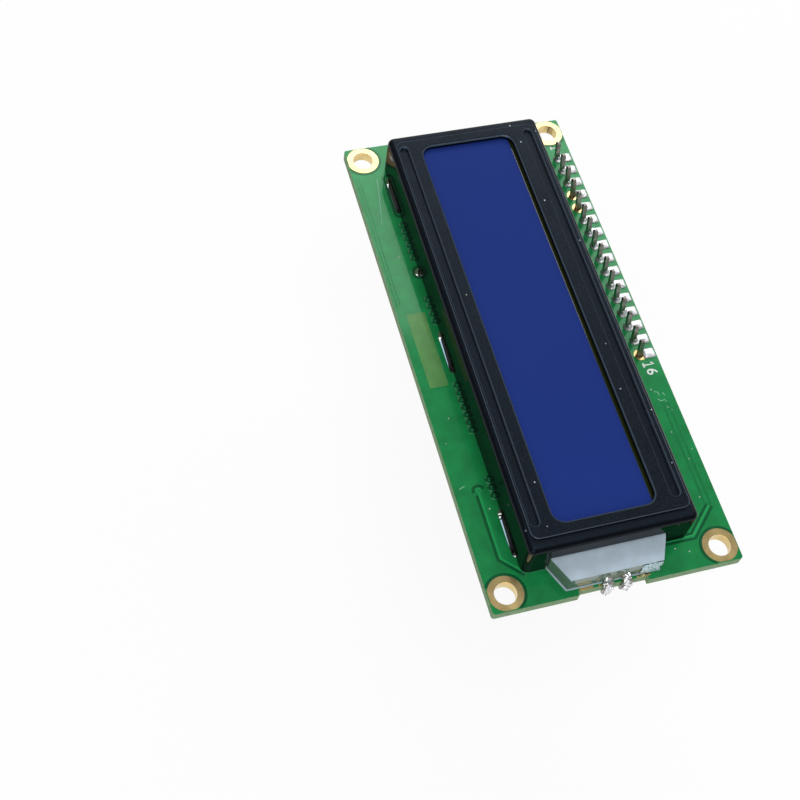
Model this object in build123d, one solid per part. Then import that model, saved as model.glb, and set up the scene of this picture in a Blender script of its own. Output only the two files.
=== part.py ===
from build123d import *
from math import cos, radians, sin, tan
import os

os.makedirs("parts", exist_ok=True)

# Character display module with a serial adapter soldered behind its pin row.
# Frame: origin at the centre of the four fixing holes on the board's front face.
# +X runs along the text line, +Y points to the pin row and +Z out of the display.
# Lengths are millimetres and angles are degrees.

# Main board
board_length = 80.0
board_width = 36.0
board_thickness = 1.6
board_corner = 0.4
mount_margin = 2.5
mount_hole_diameter = 3.2
ring_diameter = 5.0
pad_thickness = 0.05
pad_edge_margin = 0.12
recess_centre_y = -0.9
mount_pitch_x = board_length - 2 * mount_margin
mount_pitch_y = board_width - 2 * mount_margin
recess_length = 10.0
recess_depth = 0.6

# Bezel, drawn from one steel sheet
bezel_end_margin = 4.3
bezel_side_margin = 5.95
bezel_length = board_length - 2 * bezel_end_margin
bezel_width = board_width - 2 * bezel_side_margin
bezel_centre_x = -0.3
bezel_centre_y = -0.5
bezel_corner = 1.0
sheet = 0.5
bend_radius = 0.9
ledge_height = 6.6
plateau_step = 0.4
ledge_end_width = 1.6
ledge_side_width = 0.75
plateau_corner = 1.2
plateau_round = 0.25
window_end_margin = 3.35
window_side_margin = 4.8
window_length = bezel_length - 2 * window_end_margin
window_width = bezel_width - 2 * window_side_margin
window_shift_y = -0.25
window_corner = 1.7
window_lip_round = 0.42
channel_side_margin = 2.05
channel_offset_y = bezel_width / 2 - channel_side_margin
channel_shift_x = -0.4
channel_shift_y = -0.2
channel_length = window_length + 0.5
channel_width = 1.3
channel_depth = 0.5
channel_wall = 0.4
channel_bevel = 0.15

# Bezel tabs, twisted over the board's back
tab_end_margin = 6.2
tab_spacing = bezel_length / 2 - tab_end_margin
tab_width = 5.6
tab_reach = 1.7
tab_twist = 20.0
tab_twist_height = 0.7
tab_twist_start = 0.1
slot_length = 7.4
slot_width = 1.4
tab_pad_length = 7.1
tab_pad_width = 2.5

# Locating lugs of the bezel and their holes in the board
lug_places_x = (-14.9, 15.0)
lug_width = 1.1
lug_reach = 1.3
lug_hole_diameter = 1.6
lug_hole_shift = 0.2

# Display cell
glass_thickness = 1.1
glass_clearance = 0.4
glass_ledge = 2.0
polariser_thickness = 0.15
polariser_overlap_x = 0.85
polariser_overlap_y = 0.3
front_polariser_shift_y = -0.75
rear_polariser_margin = 0.95

# Contact strips
strip_clearance = 0.2
strip_end_clearance = 1.6

# Backlight
guide_side_margin = 3.85
guide_width = bezel_width - 2 * guide_side_margin
guide_bottom = 0.15
guide_top = 3.0
guide_end_clearance = 1.2
guide_shift_y = -0.3
guide_tip_width = guide_width - 3.2
guide_tip_reach = 3.5
diffuser_thickness = 0.2
guide_port_clearance = 0.3
led_width = 3.2
led_depth = 1.5
led_height = 1.6
led_corner = 0.1
led_clearance = 0.05
lead_spacing = 2.6
lead_shift_y = 0.5
lead_width = 1.2
lead_thickness = 0.4
lead_clearance = 0.1
lead_level = 0.9
lead_back_reach = 1.7

# Resin blobs over the driver dies
blob_upper_radius = 6.9
blob_lower_radius = 5.9
blob_upper_at = (-13.0, -0.6)
blob_lower_at = (13.2, 0.7)
blob_height = 1.3
blob_shoulder = 0.9
blob_shoulder_height = 0.8

# Chip parts
board_chip_length = 2.2
board_chip_width = 1.3
board_chip_height = 0.5
light_chip_length = 3.2
light_chip_width = 1.55
light_chip_height = 0.55
small_chip_length = 1.6
small_chip_width = 0.8
small_chip_height = 0.45
led_chip_length = 2.0
led_chip_width = 1.25
led_chip_height = 0.8
chip_end_share = 0.2
chip_solder_foot = 0.65
chip_foot_knee = 0.25
chip_foot_rise = 0.45
ladder_end_margin = 9.1
ladder_x = -(board_length / 2 - ladder_end_margin)
ladder_first_y = -6.7
ladder_pitch = 2.45
ladder_count = 5
oscillator_gap_x = 8.5
oscillator_resistor_at = (ladder_x + oscillator_gap_x, -3.85)
light_edge_margin = 5.3
light_resistor_at = (19.7, board_width / 2 - light_edge_margin)
bridge_end_margin = 8.5
bridge_pad_margin = 2.45
bridge_radius = 1.2
bridge_height = 0.7

# Pin row and spacer
pin_pitch = 2.54
pin_count = 16
pin_side = 0.64
pin_tip = 0.18
first_pin_margin = 8.0
first_pin_x = first_pin_margin - board_length / 2
pin_row_y = mount_pitch_y / 2
pin_hole_diameter = 1.2
pin_front_reach = 6.0
pin_back_reach = 3.0
spacer_height = 2.54
spacer_width = 2.5
spacer_notch = 0.45
row_pad_width = 1.7
row_pad_inner_reach = 0.95
row_pad_round = 0.75
row_pad_thickness = 0.15
joint_radius = 0.8
joint_top_radius = 0.46
joint_height = 0.8

# Adapter board, in its own frame: x along the row from pin 1, y away from the
# row, z away from the main board, measured from the spacer's board-side face.
adapter_tilt = 8.0
adapter_start = -1.4
adapter_length = 41.5
adapter_row_margin = 1.1
adapter_width = 19.0
adapter_thickness = 1.4
adapter_joint_radius = 0.95
adapter_joint_height = 1.15

# Expander chip
chip_at = (19.25, 8.15)
chip_body_width = 7.5
chip_body_length = 10.3
chip_standoff = 0.15
chip_height = 2.4
chip_band = 0.35
chip_draft = 10.0
chip_lead_pitch = 1.27
chip_lead_count = 8
chip_lead_width = 0.42
chip_lead_thickness = 0.25
chip_lead_span = 10.6
chip_lead_foot = 0.8
chip_lead_knee = 0.45
chip_dot_radius = 0.6
chip_dot_depth = 0.1
chip_dot_inset = 1.3

# Trimmer
trimmer_at = (7.4, 6.9)
trimmer_length = 6.7
trimmer_width = 6.8
trimmer_height = 4.5
trimmer_round = 0.35
trimmer_foot = 0.35
trimmer_foot_width = 1.2
trimmer_barrel_radius = 3.85
trimmer_barrel_drop = 0.9
trimmer_rib_radius = 0.35
trimmer_rib_count = 4
trimmer_rib_pitch = 1.3
trimmer_rib_sink = 0.2
rotor_radius = 1.42
rotor_clearance = 0.07
rotor_height = 1.1
rotor_floor_gap = 0.03
rotor_slot_width = 0.5
rotor_slot_depth = 0.55
rotor_slot_length = 2.3
rotor_arrow = 0.75
trimmer_pin_radius = 0.25
trimmer_pin_pitch = 2.54
trimmer_pin_seat = 0.5

# Headers with bent pins
header_height = 2.54
header_bevel = 0.5
bend_height = 4.1
bend_inner_radius = 0.45
leg_protrusion = 1.3
bus_header_at = (0.1, 8.5)
bus_pin_count = 4
bus_arm = 7.1
jumper_header_at = (38.2, 6.75)
jumper_pin_count = 2
jumper_arm = 6.6
inner_joint_radius = 0.8
inner_joint_height = 0.9

# Jumper cap and its contact clip
cap_start = 0.8
cap_length = 5.3
cap_width = 5.0
cap_height = 2.5
cap_bevel = 0.3
cap_end_wall = 1.3
cap_wall = 0.45
cap_step_length = 1.5
cap_step_depth = 0.55
cap_window_width = 1.5
cap_window_length = 2.3
pin_slide_clearance = 0.06
clip_wall = 0.2
clip_length = 3.0
clip_gap = 0.05

# Transistor
transistor_at = (34.2, 5.9)
transistor_length = 2.9
transistor_width = 1.3
transistor_height = 1.1
transistor_standoff = 0.1
transistor_draft = 8.0
transistor_band = 0.15
transistor_lead_spread = 0.95
transistor_lead_width = 0.42
transistor_lead_span = 2.5
transistor_lead_thickness = 0.13
transistor_lead_foot = 0.3
transistor_lead_knee = 0.2

# Chip parts on the adapter: place and turn from lying along x
adapter_resistor_places = [
    ((19.65, 15.9), 0),
    ((24.05, 15.9), 0),
    ((28.5, 15.8), 0),
    ((27.55, 11.0), 90),
    ((30.05, 11.0), 90),
    ((32.55, 10.9), 90),
    ((30.65, 6.1), 90),
]
capacitor_at = (28.05, 6.1)
power_led_at = (35.2, 11.2)

# Places worked out from the sizes above
board_back = -board_thickness
plateau_top = ledge_height + plateau_step
plateau_length = bezel_length - 2 * ledge_end_width
plateau_width = bezel_width - 2 * ledge_side_width
cavity_length = bezel_length - 2 * sheet
cavity_width = bezel_width - 2 * sheet
bezel_place = Pos(bezel_centre_x, bezel_centre_y, 0)
wall_middle_y = bezel_width / 2 - sheet / 2
pad_inner_y = wall_middle_y - slot_width / 2 - tab_pad_width
bridge_at = (board_length / 2 - bridge_end_margin, bezel_centre_y + pad_inner_y - bridge_pad_margin)
front_glass_top = plateau_top - sheet - channel_depth
front_glass_bottom = front_glass_top - glass_thickness
rear_glass_bottom = front_glass_bottom - glass_thickness
glass_length = cavity_length - 2 * glass_clearance
front_glass_width = cavity_width - 2 * glass_clearance
rear_glass_width = front_glass_width - 2 * glass_ledge
polariser_length = window_length + 2 * polariser_overlap_x
front_polariser_width = window_width + 2 * polariser_overlap_y
rear_polariser_width = rear_glass_width - 2 * rear_polariser_margin
strip_width = glass_ledge - strip_clearance
strip_offset_y = (front_glass_width - glass_ledge) / 2
diffuser_top = guide_top + diffuser_thickness
guide_start_x = -(cavity_length / 2 - guide_end_clearance)
guide_tip_x = bezel_length / 2 + guide_tip_reach
spacer_z = board_back - spacer_width / 2 * sin(radians(adapter_tilt))
spacer_y = pin_row_y + tan(radians(adapter_tilt)) * (-board_thickness / 2 - spacer_z)
adapter_place = Pos(first_pin_x, spacer_y, spacer_z) * Rot(180 + adapter_tilt, 0, 0)
adapter_inner = spacer_height
adapter_outer = spacer_height + adapter_thickness
capacitor_size = (small_chip_length, small_chip_width, small_chip_width)
power_led_size = (led_chip_length, led_chip_width, led_chip_height)
pin_half = pin_side / 2
low = (Align.CENTER, Align.CENTER, Align.MIN)


def slab(outline, bottom, top):
    """Solid of a flat outline between two heights."""
    return Pos(0, 0, bottom) * extrude(outline, top - bottom)


def top_edges(solid):
    return solid.edges().group_by(Axis.Z)[-1]


def group(solids):
    """Several separate solids kept as one node."""
    return Compound([piece for shape in solids for piece in shape.solids()])


def mount_points():
    return [(sx * mount_pitch_x / 2, sy * mount_pitch_y / 2) for sx in (-1, 1) for sy in (-1, 1)]


def lug_points():
    """Place and side of each locating lug."""
    return [(x, bezel_centre_y + side * wall_middle_y, side) for x, side in zip(lug_places_x, (-1, 1))]


def row_points():
    return [(first_pin_x + index * pin_pitch, pin_row_y) for index in range(pin_count)]


def lead_points_y():
    return [recess_centre_y + lead_shift_y + side * lead_spacing / 2 for side in (-1, 1)]


def tab_points():
    """Place and side of each bezel tab, in the bezel's own frame."""
    return [(index * tab_spacing, side * wall_middle_y, side) for index in (-1, 0, 1) for side in (-1, 1)]


# Main board with its holes, tab slots and edge recess
def make_main_board():
    outline = RectangleRounded(board_length, board_width, board_corner)
    outline -= [Pos(x, y) * Circle(mount_hole_diameter / 2) for x, y in mount_points()]
    outline -= [Pos(x, y) * Circle(pin_hole_diameter / 2) for x, y in row_points()]
    outline -= [
        Pos(x, y + side * lug_hole_shift) * Circle(lug_hole_diameter / 2) for x, y, side in lug_points()
    ]
    outline -= [
        Pos(bezel_centre_x + x, bezel_centre_y + y) * SlotOverall(slot_length, slot_width)
        for x, y, side in tab_points()
    ]
    outline -= Pos(board_length / 2, recess_centre_y) * Rectangle(2 * recess_depth, recess_length)
    return slab(outline, board_back, 0)


def make_mount_rings():
    """Gold rings round the fixing holes, cut off short of the board's edges."""
    inside = Rectangle(board_length - 2 * pad_edge_margin, board_width - 2 * pad_edge_margin)
    rings = []
    for x, y in mount_points():
        ring = Pos(x, y) * (Circle(ring_diameter / 2) - Circle(mount_hole_diameter / 2))
        ring = ring & inside
        rings.append(slab(ring, 0, pad_thickness))
        rings.append(slab(ring, board_back - pad_thickness, board_back))
    return group(rings)


def make_tab_pads():
    """Gold fields beside the slots on the board's back, inside the bezel's outline."""
    pads = []
    for x, y, side in tab_points():
        middle = y - side * (slot_width + tab_pad_width) / 2
        field = Pos(bezel_centre_x + x, bezel_centre_y + middle) * Rectangle(tab_pad_length, tab_pad_width)
        pads.append(slab(field, board_back - pad_thickness, board_back))
    return group(pads)


# Bezel: a drawn can with a raised face, a window, two pressed channels and six tabs
def drawn_can(inset, height, radius):
    """Rounded box with a bent top edge, inset from the bezel's outside."""
    can = slab(
        RectangleRounded(bezel_length - 2 * inset, bezel_width - 2 * inset, bezel_corner - inset), 0, height
    )
    return fillet(top_edges(can), radius)


def raised_face(inset, bottom, top):
    length = plateau_length - 2 * inset
    width = plateau_width - 2 * inset
    return slab(RectangleRounded(length, width, plateau_corner - inset), bottom, top)


def bezel_tab(x, y, side):
    """Tongue that passes the board's slot and is twisted beyond it."""
    neck_bottom = board_back - tab_twist_start
    twist_bottom = neck_bottom - tab_twist_height
    tip = board_back - tab_reach
    section = Rectangle(tab_width, sheet)
    turned = Rot(0, 0, side * tab_twist) * section
    neck = slab(section, neck_bottom, 0)
    twist = loft([(Pos(0, 0, twist_bottom) * turned).face(), (Pos(0, 0, neck_bottom) * section).face()])
    blade = slab(turned, tip, twist_bottom)
    return Pos(x, y, 0) * (neck + twist + blade)


def make_bezel():
    shell = drawn_can(0, ledge_height, bend_radius)
    shell -= drawn_can(sheet, ledge_height - sheet, bend_radius - sheet)
    face = raised_face(0, ledge_height - sheet / 2, plateau_top)
    shell += fillet(top_edges(face), plateau_round)
    shell -= raised_face(sheet, ledge_height - 2 * sheet, plateau_top - sheet)
    for side in (-1, 1):
        middle_y = channel_shift_y + side * channel_offset_y
        middle = Pos(channel_shift_x, middle_y)
        below = middle * SlotOverall(channel_length + 2 * channel_wall, channel_width + 2 * channel_wall)
        shell += slab(below, front_glass_top, plateau_top - sheet)
        groove = middle * SlotOverall(channel_length, channel_width)
        channel = slab(groove, plateau_top - channel_depth, plateau_top)
        shell -= chamfer(channel.edges().group_by(Axis.Z)[0], channel_bevel)
        beside = [e for e in top_edges(shell) if abs(e.center().Y - middle_y) < channel_width * 0.6]
        rim = [e for e in beside if e.length < channel_length]
        shell = chamfer(rim, channel_bevel)
    window = RectangleRounded(window_length, window_width, window_corner)
    shell -= Pos(0, window_shift_y, 0) * slab(window, plateau_top - 2 * sheet, plateau_top)
    lip = [
        edge for edge in top_edges(shell)
        if abs(edge.center().Y - window_shift_y) < window_width / 2 + window_lip_round / 2
        and abs(edge.center().X) < window_length / 2 + window_lip_round / 2
    ]
    shell = fillet(lip, window_lip_round)
    port_width = guide_width + 2 * guide_port_clearance
    port_height = diffuser_top + guide_port_clearance
    port = Box(4 * sheet, port_width, port_height, align=low)
    shell -= Pos(bezel_length / 2, guide_shift_y, 0) * port
    for x, y, side in tab_points():
        shell += bezel_tab(x, y, side)
    lugs = [Pos(x, y, -lug_reach) * Box(lug_width, sheet, lug_reach, align=low) for x, y, side in lug_points()]
    return bezel_place * shell + lugs


# Display cell
def make_front_glass():
    outline = Rectangle(glass_length, front_glass_width)
    return bezel_place * slab(outline, front_glass_bottom, front_glass_top)


def make_rear_glass():
    outline = Rectangle(glass_length, rear_glass_width)
    return bezel_place * slab(outline, rear_glass_bottom, front_glass_bottom)


def make_front_polariser():
    film = Pos(0, window_shift_y + front_polariser_shift_y) * Rectangle(polariser_length, front_polariser_width)
    return bezel_place * slab(film, front_glass_top, front_glass_top + polariser_thickness)


def make_rear_polariser():
    film = Rectangle(polariser_length, rear_polariser_width)
    return bezel_place * slab(film, rear_glass_bottom - polariser_thickness, rear_glass_bottom)


def make_contact_strips():
    """Rubber strips that press the cell's ledges to the board's contacts."""
    section = Rectangle(glass_length - 2 * strip_end_clearance, strip_width)
    strips = [slab(Pos(0, side * strip_offset_y) * section, 0, front_glass_bottom) for side in (-1, 1)]
    return bezel_place * group(strips)


# Backlight
def guide_outline(margin):
    """Plate under the cell with a tab that narrows outside the bezel's end."""
    half = guide_width / 2 + margin
    tip = guide_tip_width / 2 + margin
    wall_x = bezel_length / 2
    corners = [
        (guide_start_x, -half),
        (wall_x, -half),
        (guide_tip_x + margin, -tip),
        (guide_tip_x + margin, tip),
        (wall_x, half),
        (guide_start_x, half),
    ]
    return Pos(0, guide_shift_y) * make_face(Polyline(*corners, close=True))


def led_pocket(clearance):
    """Space of the light source in the guide's tip face, and the source itself."""
    depth = led_depth + clearance
    middle_y = recess_centre_y + lead_shift_y - bezel_centre_y
    space = Box(depth, led_width + 2 * clearance, led_height + clearance, align=low)
    return Pos(guide_tip_x - depth / 2, middle_y, guide_bottom) * space


def make_light_guide():
    return bezel_place * (slab(guide_outline(0), guide_bottom, guide_top) - led_pocket(led_clearance))


def make_diffuser_film():
    return bezel_place * slab(guide_outline(0), guide_top, diffuser_top)


def make_reflector_film():
    return bezel_place * slab(guide_outline(guide_bottom), 0, guide_bottom)


def make_backlight_led():
    body = led_pocket(0)
    return bezel_place * fillet(body.edges().filter_by(Axis.Z), led_corner)


def make_led_leads():
    """Two leads, tinned thick, that run from the source round the board's edge to its back."""
    start = bezel_centre_x + guide_tip_x
    edge = board_length / 2 - recess_depth + lead_clearance
    back = board_back - lead_thickness
    corners = [
        (start, lead_level),
        (edge + lead_thickness, lead_level),
        (edge + lead_thickness, back),
        (edge - lead_back_reach, back),
        (edge - lead_back_reach, board_back),
        (edge, board_back),
        (edge, lead_level - lead_thickness),
        (start, lead_level - lead_thickness),
    ]
    profile = make_face(Polyline(*corners, close=True))
    outer = [v for v in profile.vertices() if v.X > edge + lead_thickness / 2]
    profile = fillet(outer, lead_thickness)
    lead = extrude(Plane.XZ * profile, lead_width / 2, both=True)
    return group([Pos(0, y, 0) * lead for y in lead_points_y()])


# Resin blobs on the board's back
def resin_blob(radius):
    """Drop that set with a rounded shoulder and a low crown."""
    crown = (0, blob_height)
    shoulder = (radius - blob_shoulder, blob_shoulder_height)
    foot = (radius, 0)
    profile = make_face([
        Line((0, 0), crown),
        TangentArc(crown, shoulder, tangent=(1, 0)),
        TangentArc(foot, shoulder, tangent=(0, 1)),
        Line(foot, (0, 0)),
    ])
    return revolve(Plane.XZ * profile, Axis.Z)


def on_board_back(x, y):
    return Pos(x, y, board_back) * Rot(180, 0, 0)


def make_driver_blob(at, radius):
    return on_board_back(*at) * resin_blob(radius)


# Chip parts
def chip_body(length, width, height):
    """Ceramic between the two metal ends of a chip part lying along x."""
    return Box(length * (1 - 2 * chip_end_share), width, height, align=low)


def chip_ends(length, width, height):
    """The two metal ends with their solder feet."""
    inner = length * (0.5 - chip_end_share)
    outer = length / 2
    corners = [
        (inner, 0),
        (outer + chip_solder_foot, 0),
        (outer + chip_foot_knee, height * chip_foot_rise),
        (outer, height),
        (inner, height),
    ]
    end = extrude(Plane.XZ * make_face(Polyline(*corners, close=True)), width / 2, both=True)
    return [end, Rot(0, 0, 180) * end]


def board_chips():
    """Place and length, width and height of each resistor on the board's back."""
    usual = (board_chip_length, board_chip_width, board_chip_height)
    ladder = [((ladder_x, ladder_first_y + index * ladder_pitch), usual) for index in range(ladder_count)]
    light = (light_resistor_at, (light_chip_length, light_chip_width, light_chip_height))
    return ladder + [(oscillator_resistor_at, usual), light]


def make_board_resistors():
    return group([on_board_back(*at) * chip_body(*sizes) for at, sizes in board_chips()])


def make_board_resistor_ends():
    return group([on_board_back(*at) * end for at, sizes in board_chips() for end in chip_ends(*sizes)])


def make_solder_bridge():
    drop = scale(Sphere(bridge_radius), by=(1, 1, bridge_height / bridge_radius))
    drop &= Box(3 * bridge_radius, 3 * bridge_radius, 3 * bridge_radius, align=low)
    return on_board_back(*bridge_at) * drop


# Pin row, spacer and solder
def straight_pin(bottom, top):
    pin = Pos(0, 0, bottom) * Box(pin_side, pin_side, top - bottom, align=low)
    ends = pin.edges().group_by(Axis.Z)
    return chamfer(ends[0] + ends[-1], pin_tip)


def row_pin():
    return straight_pin(-pin_front_reach, spacer_height + pin_back_reach)


def along_row(shape):
    return [Pos(index * pin_pitch, 0, 0) * shape for index in range(pin_count)]


def make_row_pins():
    return adapter_place * group(along_row(row_pin()))


def header_block(count, width, height, bevel):
    """Moulded pin holder: a bevelled cell for each pin, in one piece, along y."""
    cell = chamfer(Rectangle(width, pin_pitch).vertices(), bevel)
    return slab(Sketch() + [Pos(0, index * pin_pitch) * cell for index in range(count)], 0, height)


def pin_bore(bottom, top):
    return Pos(0, 0, bottom) * Box(pin_side, pin_side, top - bottom, align=low)


def make_pin_spacer():
    block = Rot(0, 0, -90) * header_block(pin_count, spacer_width, spacer_height, spacer_notch)
    for bore in along_row(pin_bore(-1, spacer_height + 1)):
        block -= bore
    return adapter_place * block


def solder_cone(radius, height):
    return Cone(radius, joint_top_radius, height, align=low)


def make_front_solder():
    """Tinned pads that run from the pins to the board's edge, with a cone at each pin."""
    outer_y = board_width / 2 - pad_edge_margin
    pad_length = outer_y - pin_row_y + row_pad_inner_reach
    pad = Pos(0, outer_y - pad_length / 2 - pin_row_y) * Rectangle(row_pad_width, pad_length)
    inner_corners = pad.vertices().group_by(Axis.Y)[0]
    joint = slab(fillet(inner_corners, row_pad_round), 0, row_pad_thickness)
    joint += solder_cone(joint_radius, joint_height)
    joints = [Pos(x, y, 0) * joint for x, y in row_points()]
    pins = [adapter_place * pin for pin in along_row(row_pin())]
    return group([joint - pin for joint, pin in zip(joints, pins)])


def make_adapter_solder():
    joint = Pos(0, 0, adapter_outer) * solder_cone(adapter_joint_radius, adapter_joint_height)
    return adapter_place * group(along_row(joint - row_pin()))


# Adapter board
def header_pin_points(at, count):
    return [(at[0], at[1] + (index - (count - 1) / 2) * pin_pitch) for index in range(count)]


def bus_points():
    return header_pin_points(bus_header_at, bus_pin_count)


def jumper_points():
    return header_pin_points(jumper_header_at, jumper_pin_count)


def trimmer_points():
    x, y = trimmer_at
    pitch = trimmer_pin_pitch
    return [(x - pitch, y - pitch), (x + pitch, y), (x - pitch, y + pitch)]


def make_adapter_board():
    outline = Pos(adapter_start + adapter_length / 2, adapter_width / 2 - adapter_row_margin) * Rectangle(
        adapter_length, adapter_width
    )
    outline -= [Pos(index * pin_pitch, 0) * Rectangle(pin_side, pin_side) for index in range(pin_count)]
    outline -= [Pos(x, y) * Rectangle(pin_side, pin_side) for x, y in bus_points() + jumper_points()]
    outline -= [Pos(x, y) * Circle(trimmer_pin_radius) for x, y in trimmer_points()]
    return adapter_place * slab(outline, adapter_inner, adapter_outer)


def on_adapter(x, y):
    return adapter_place * Pos(x, y, adapter_outer)


def gull_lead(body_half, span_half, width, thickness, level, foot, knee):
    """Lead that leaves the body's side level and steps down to a flat foot."""
    corners = [
        (body_half, level),
        (body_half + knee - thickness / 2, level),
        (span_half - foot - thickness / 2, 0),
        (span_half, 0),
        (span_half, thickness),
        (span_half - foot, thickness),
        (body_half + knee, level + thickness),
        (body_half, level + thickness),
    ]
    return extrude(Plane.XZ * make_face(Polyline(*corners, close=True)), width / 2, both=True)


def moulded_body(outline, bottom, top, band, draft):
    """Moulded package: a straight band at the parting line and drafted halves."""
    middle = (bottom + top) / 2
    body = slab(outline, middle - band / 2, middle + band / 2)
    upper = Pos(0, 0, middle + band / 2) * extrude(outline, top - middle - band / 2, taper=draft)
    lower = Pos(0, 0, middle - band / 2) * extrude(outline, -(middle - band / 2 - bottom), taper=draft)
    return body + upper + lower


def make_expander_chip():
    outline = Rectangle(chip_body_width, chip_body_length)
    body = moulded_body(outline, chip_standoff, chip_height, chip_band, chip_draft)
    dot_x = -chip_body_width / 2 + chip_dot_inset
    dot_y = chip_body_length / 2 - chip_dot_inset
    dot = Cylinder(chip_dot_radius, chip_dot_depth, align=low)
    body -= Pos(dot_x, dot_y, chip_height - chip_dot_depth) * dot
    return on_adapter(*chip_at) * body


def make_expander_leads():
    level = (chip_standoff + chip_height - chip_lead_thickness) / 2
    lead = gull_lead(
        chip_body_width / 2,
        chip_lead_span / 2,
        chip_lead_width,
        chip_lead_thickness,
        level,
        chip_lead_foot,
        chip_lead_knee,
    )
    rows = []
    for index in range(chip_lead_count):
        y = (index - (chip_lead_count - 1) / 2) * chip_lead_pitch
        rows += [Pos(0, y, 0) * lead, Pos(0, y, 0) * Rot(0, 0, 180) * lead]
    return on_adapter(*chip_at) * group(rows)


# Trimmer
def make_trimmer_body():
    body = slab(Rectangle(trimmer_length, trimmer_width), 0, trimmer_height)
    body = fillet(body.edges().filter_by(Axis.Z), trimmer_round)
    barrel = Cylinder(trimmer_barrel_radius, trimmer_height - trimmer_barrel_drop, align=low)
    half = Pos(0, trimmer_width / 2, 0) * Box(2 * trimmer_length, trimmer_width, 3 * trimmer_height)
    body += barrel & half
    for index in range(trimmer_rib_count):
        y = (index - (trimmer_rib_count - 1) / 2) * trimmer_rib_pitch
        rib = Cylinder(trimmer_rib_radius, trimmer_height - trimmer_barrel_drop, align=low)
        body += Pos(trimmer_length / 2 - trimmer_rib_sink, y, 0) * rib
    gap_x = trimmer_length - 2 * trimmer_foot_width
    gap_y = trimmer_width - 2 * trimmer_foot_width
    body -= Box(gap_x, 3 * trimmer_width, trimmer_foot, align=low)
    body -= Box(3 * trimmer_length, gap_y, trimmer_foot, align=low)
    pocket = rotor_height + rotor_floor_gap
    body -= Pos(0, 0, trimmer_height - pocket) * Cylinder(rotor_radius + rotor_clearance, pocket, align=low)
    body = Pos(*trimmer_at) * body
    for x, y in trimmer_points():
        body -= Pos(x, y, 0) * Cylinder(trimmer_pin_radius, trimmer_foot + trimmer_pin_seat, align=low)
    return on_adapter(0, 0) * body


def make_trimmer_rotor():
    """Disc with a cross slot and a pointer cut."""
    rotor = Cylinder(rotor_radius, rotor_height, align=low)
    floor = Pos(0, 0, rotor_height - rotor_slot_depth)
    rotor -= floor * Box(rotor_slot_length, rotor_slot_width, rotor_slot_depth, align=low)
    rotor -= floor * Box(rotor_slot_width, rotor_slot_length, rotor_slot_depth, align=low)
    pointer = Pos(-rotor_radius, 0) * RegularPolygon(rotor_arrow, 3)
    rotor -= slab(pointer, rotor_height - rotor_slot_depth, rotor_height)
    return on_adapter(*trimmer_at) * Pos(0, 0, trimmer_height - rotor_height) * rotor


def make_trimmer_pins():
    """Round legs from inside the trimmer through the adapter board."""
    bottom = adapter_inner - leg_protrusion
    length = adapter_outer + trimmer_foot + trimmer_pin_seat - bottom
    leg = Pos(0, 0, bottom) * Cylinder(trimmer_pin_radius, length, align=low)
    return adapter_place * group([Pos(x, y, 0) * leg for x, y in trimmer_points()])


# Headers with bent pins
def bent_pin(arm):
    """Square pin that rises from the board and turns along +x above its holder."""
    leg = adapter_thickness + leg_protrusion
    inner_z = bend_height - pin_half
    outer_z = bend_height + pin_half
    corners = [
        (-pin_half, -leg),
        (pin_half, -leg),
        (pin_half, inner_z),
        (arm, inner_z),
        (arm, outer_z),
        (-pin_half, outer_z),
    ]
    profile = make_face(Polyline(*corners, close=True))
    inner = [v for v in profile.vertices() if abs(v.X - pin_half) < 0.01 and v.Y > 0]
    profile = fillet(inner, bend_inner_radius)
    outer = [v for v in profile.vertices() if v.X < 0 and v.Y > 0]
    profile = fillet(outer, bend_inner_radius + pin_side)
    pin = extrude(Plane.XZ * profile, pin_half, both=True)
    tip = pin.edges().group_by(Axis.X)[-1]
    return chamfer(tip, pin_tip)


def header_pins(points, turn, arm):
    return [adapter_place * Pos(x, y, adapter_outer) * Rot(0, 0, turn) * bent_pin(arm) for x, y in points]


def make_header(points):
    first_x, first_y = points[0]
    block = Pos(first_x, first_y, 0) * header_block(len(points), pin_pitch, header_height, header_bevel)
    for x, y in points:
        block -= Pos(x, y, 0) * pin_bore(-1, header_height + 1)
    return adapter_place * Pos(0, 0, adapter_outer) * block


def make_inner_solder():
    """Joints on the adapter's inner face, round the legs of both headers and the trimmer."""
    cone = Pos(0, 0, adapter_inner) * Rot(180, 0, 0) * solder_cone(inner_joint_radius, inner_joint_height)
    square_leg = pin_bore(0, adapter_inner)
    round_leg = Cylinder(trimmer_pin_radius, adapter_inner, align=low)
    joints = [Pos(x, y, 0) * (cone - square_leg) for x, y in bus_points() + jumper_points()]
    joints += [Pos(x, y, 0) * (cone - round_leg) for x, y in trimmer_points()]
    return adapter_place * group(joints)


# Jumper cap and clip, on the arms of the two jumper pins
def clip_sleeve_side():
    return pin_side + 2 * pin_slide_clearance + 2 * clip_wall


def on_jumper(x):
    return on_adapter(jumper_header_at[0] + x, jumper_header_at[1]) * Pos(0, 0, bend_height)


def along_x(length, width, height):
    """Box that starts at x = 0 and is centred on the pins' axis plane."""
    return Box(length, width, height, align=(Align.MIN, Align.CENTER, Align.CENTER))


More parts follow.
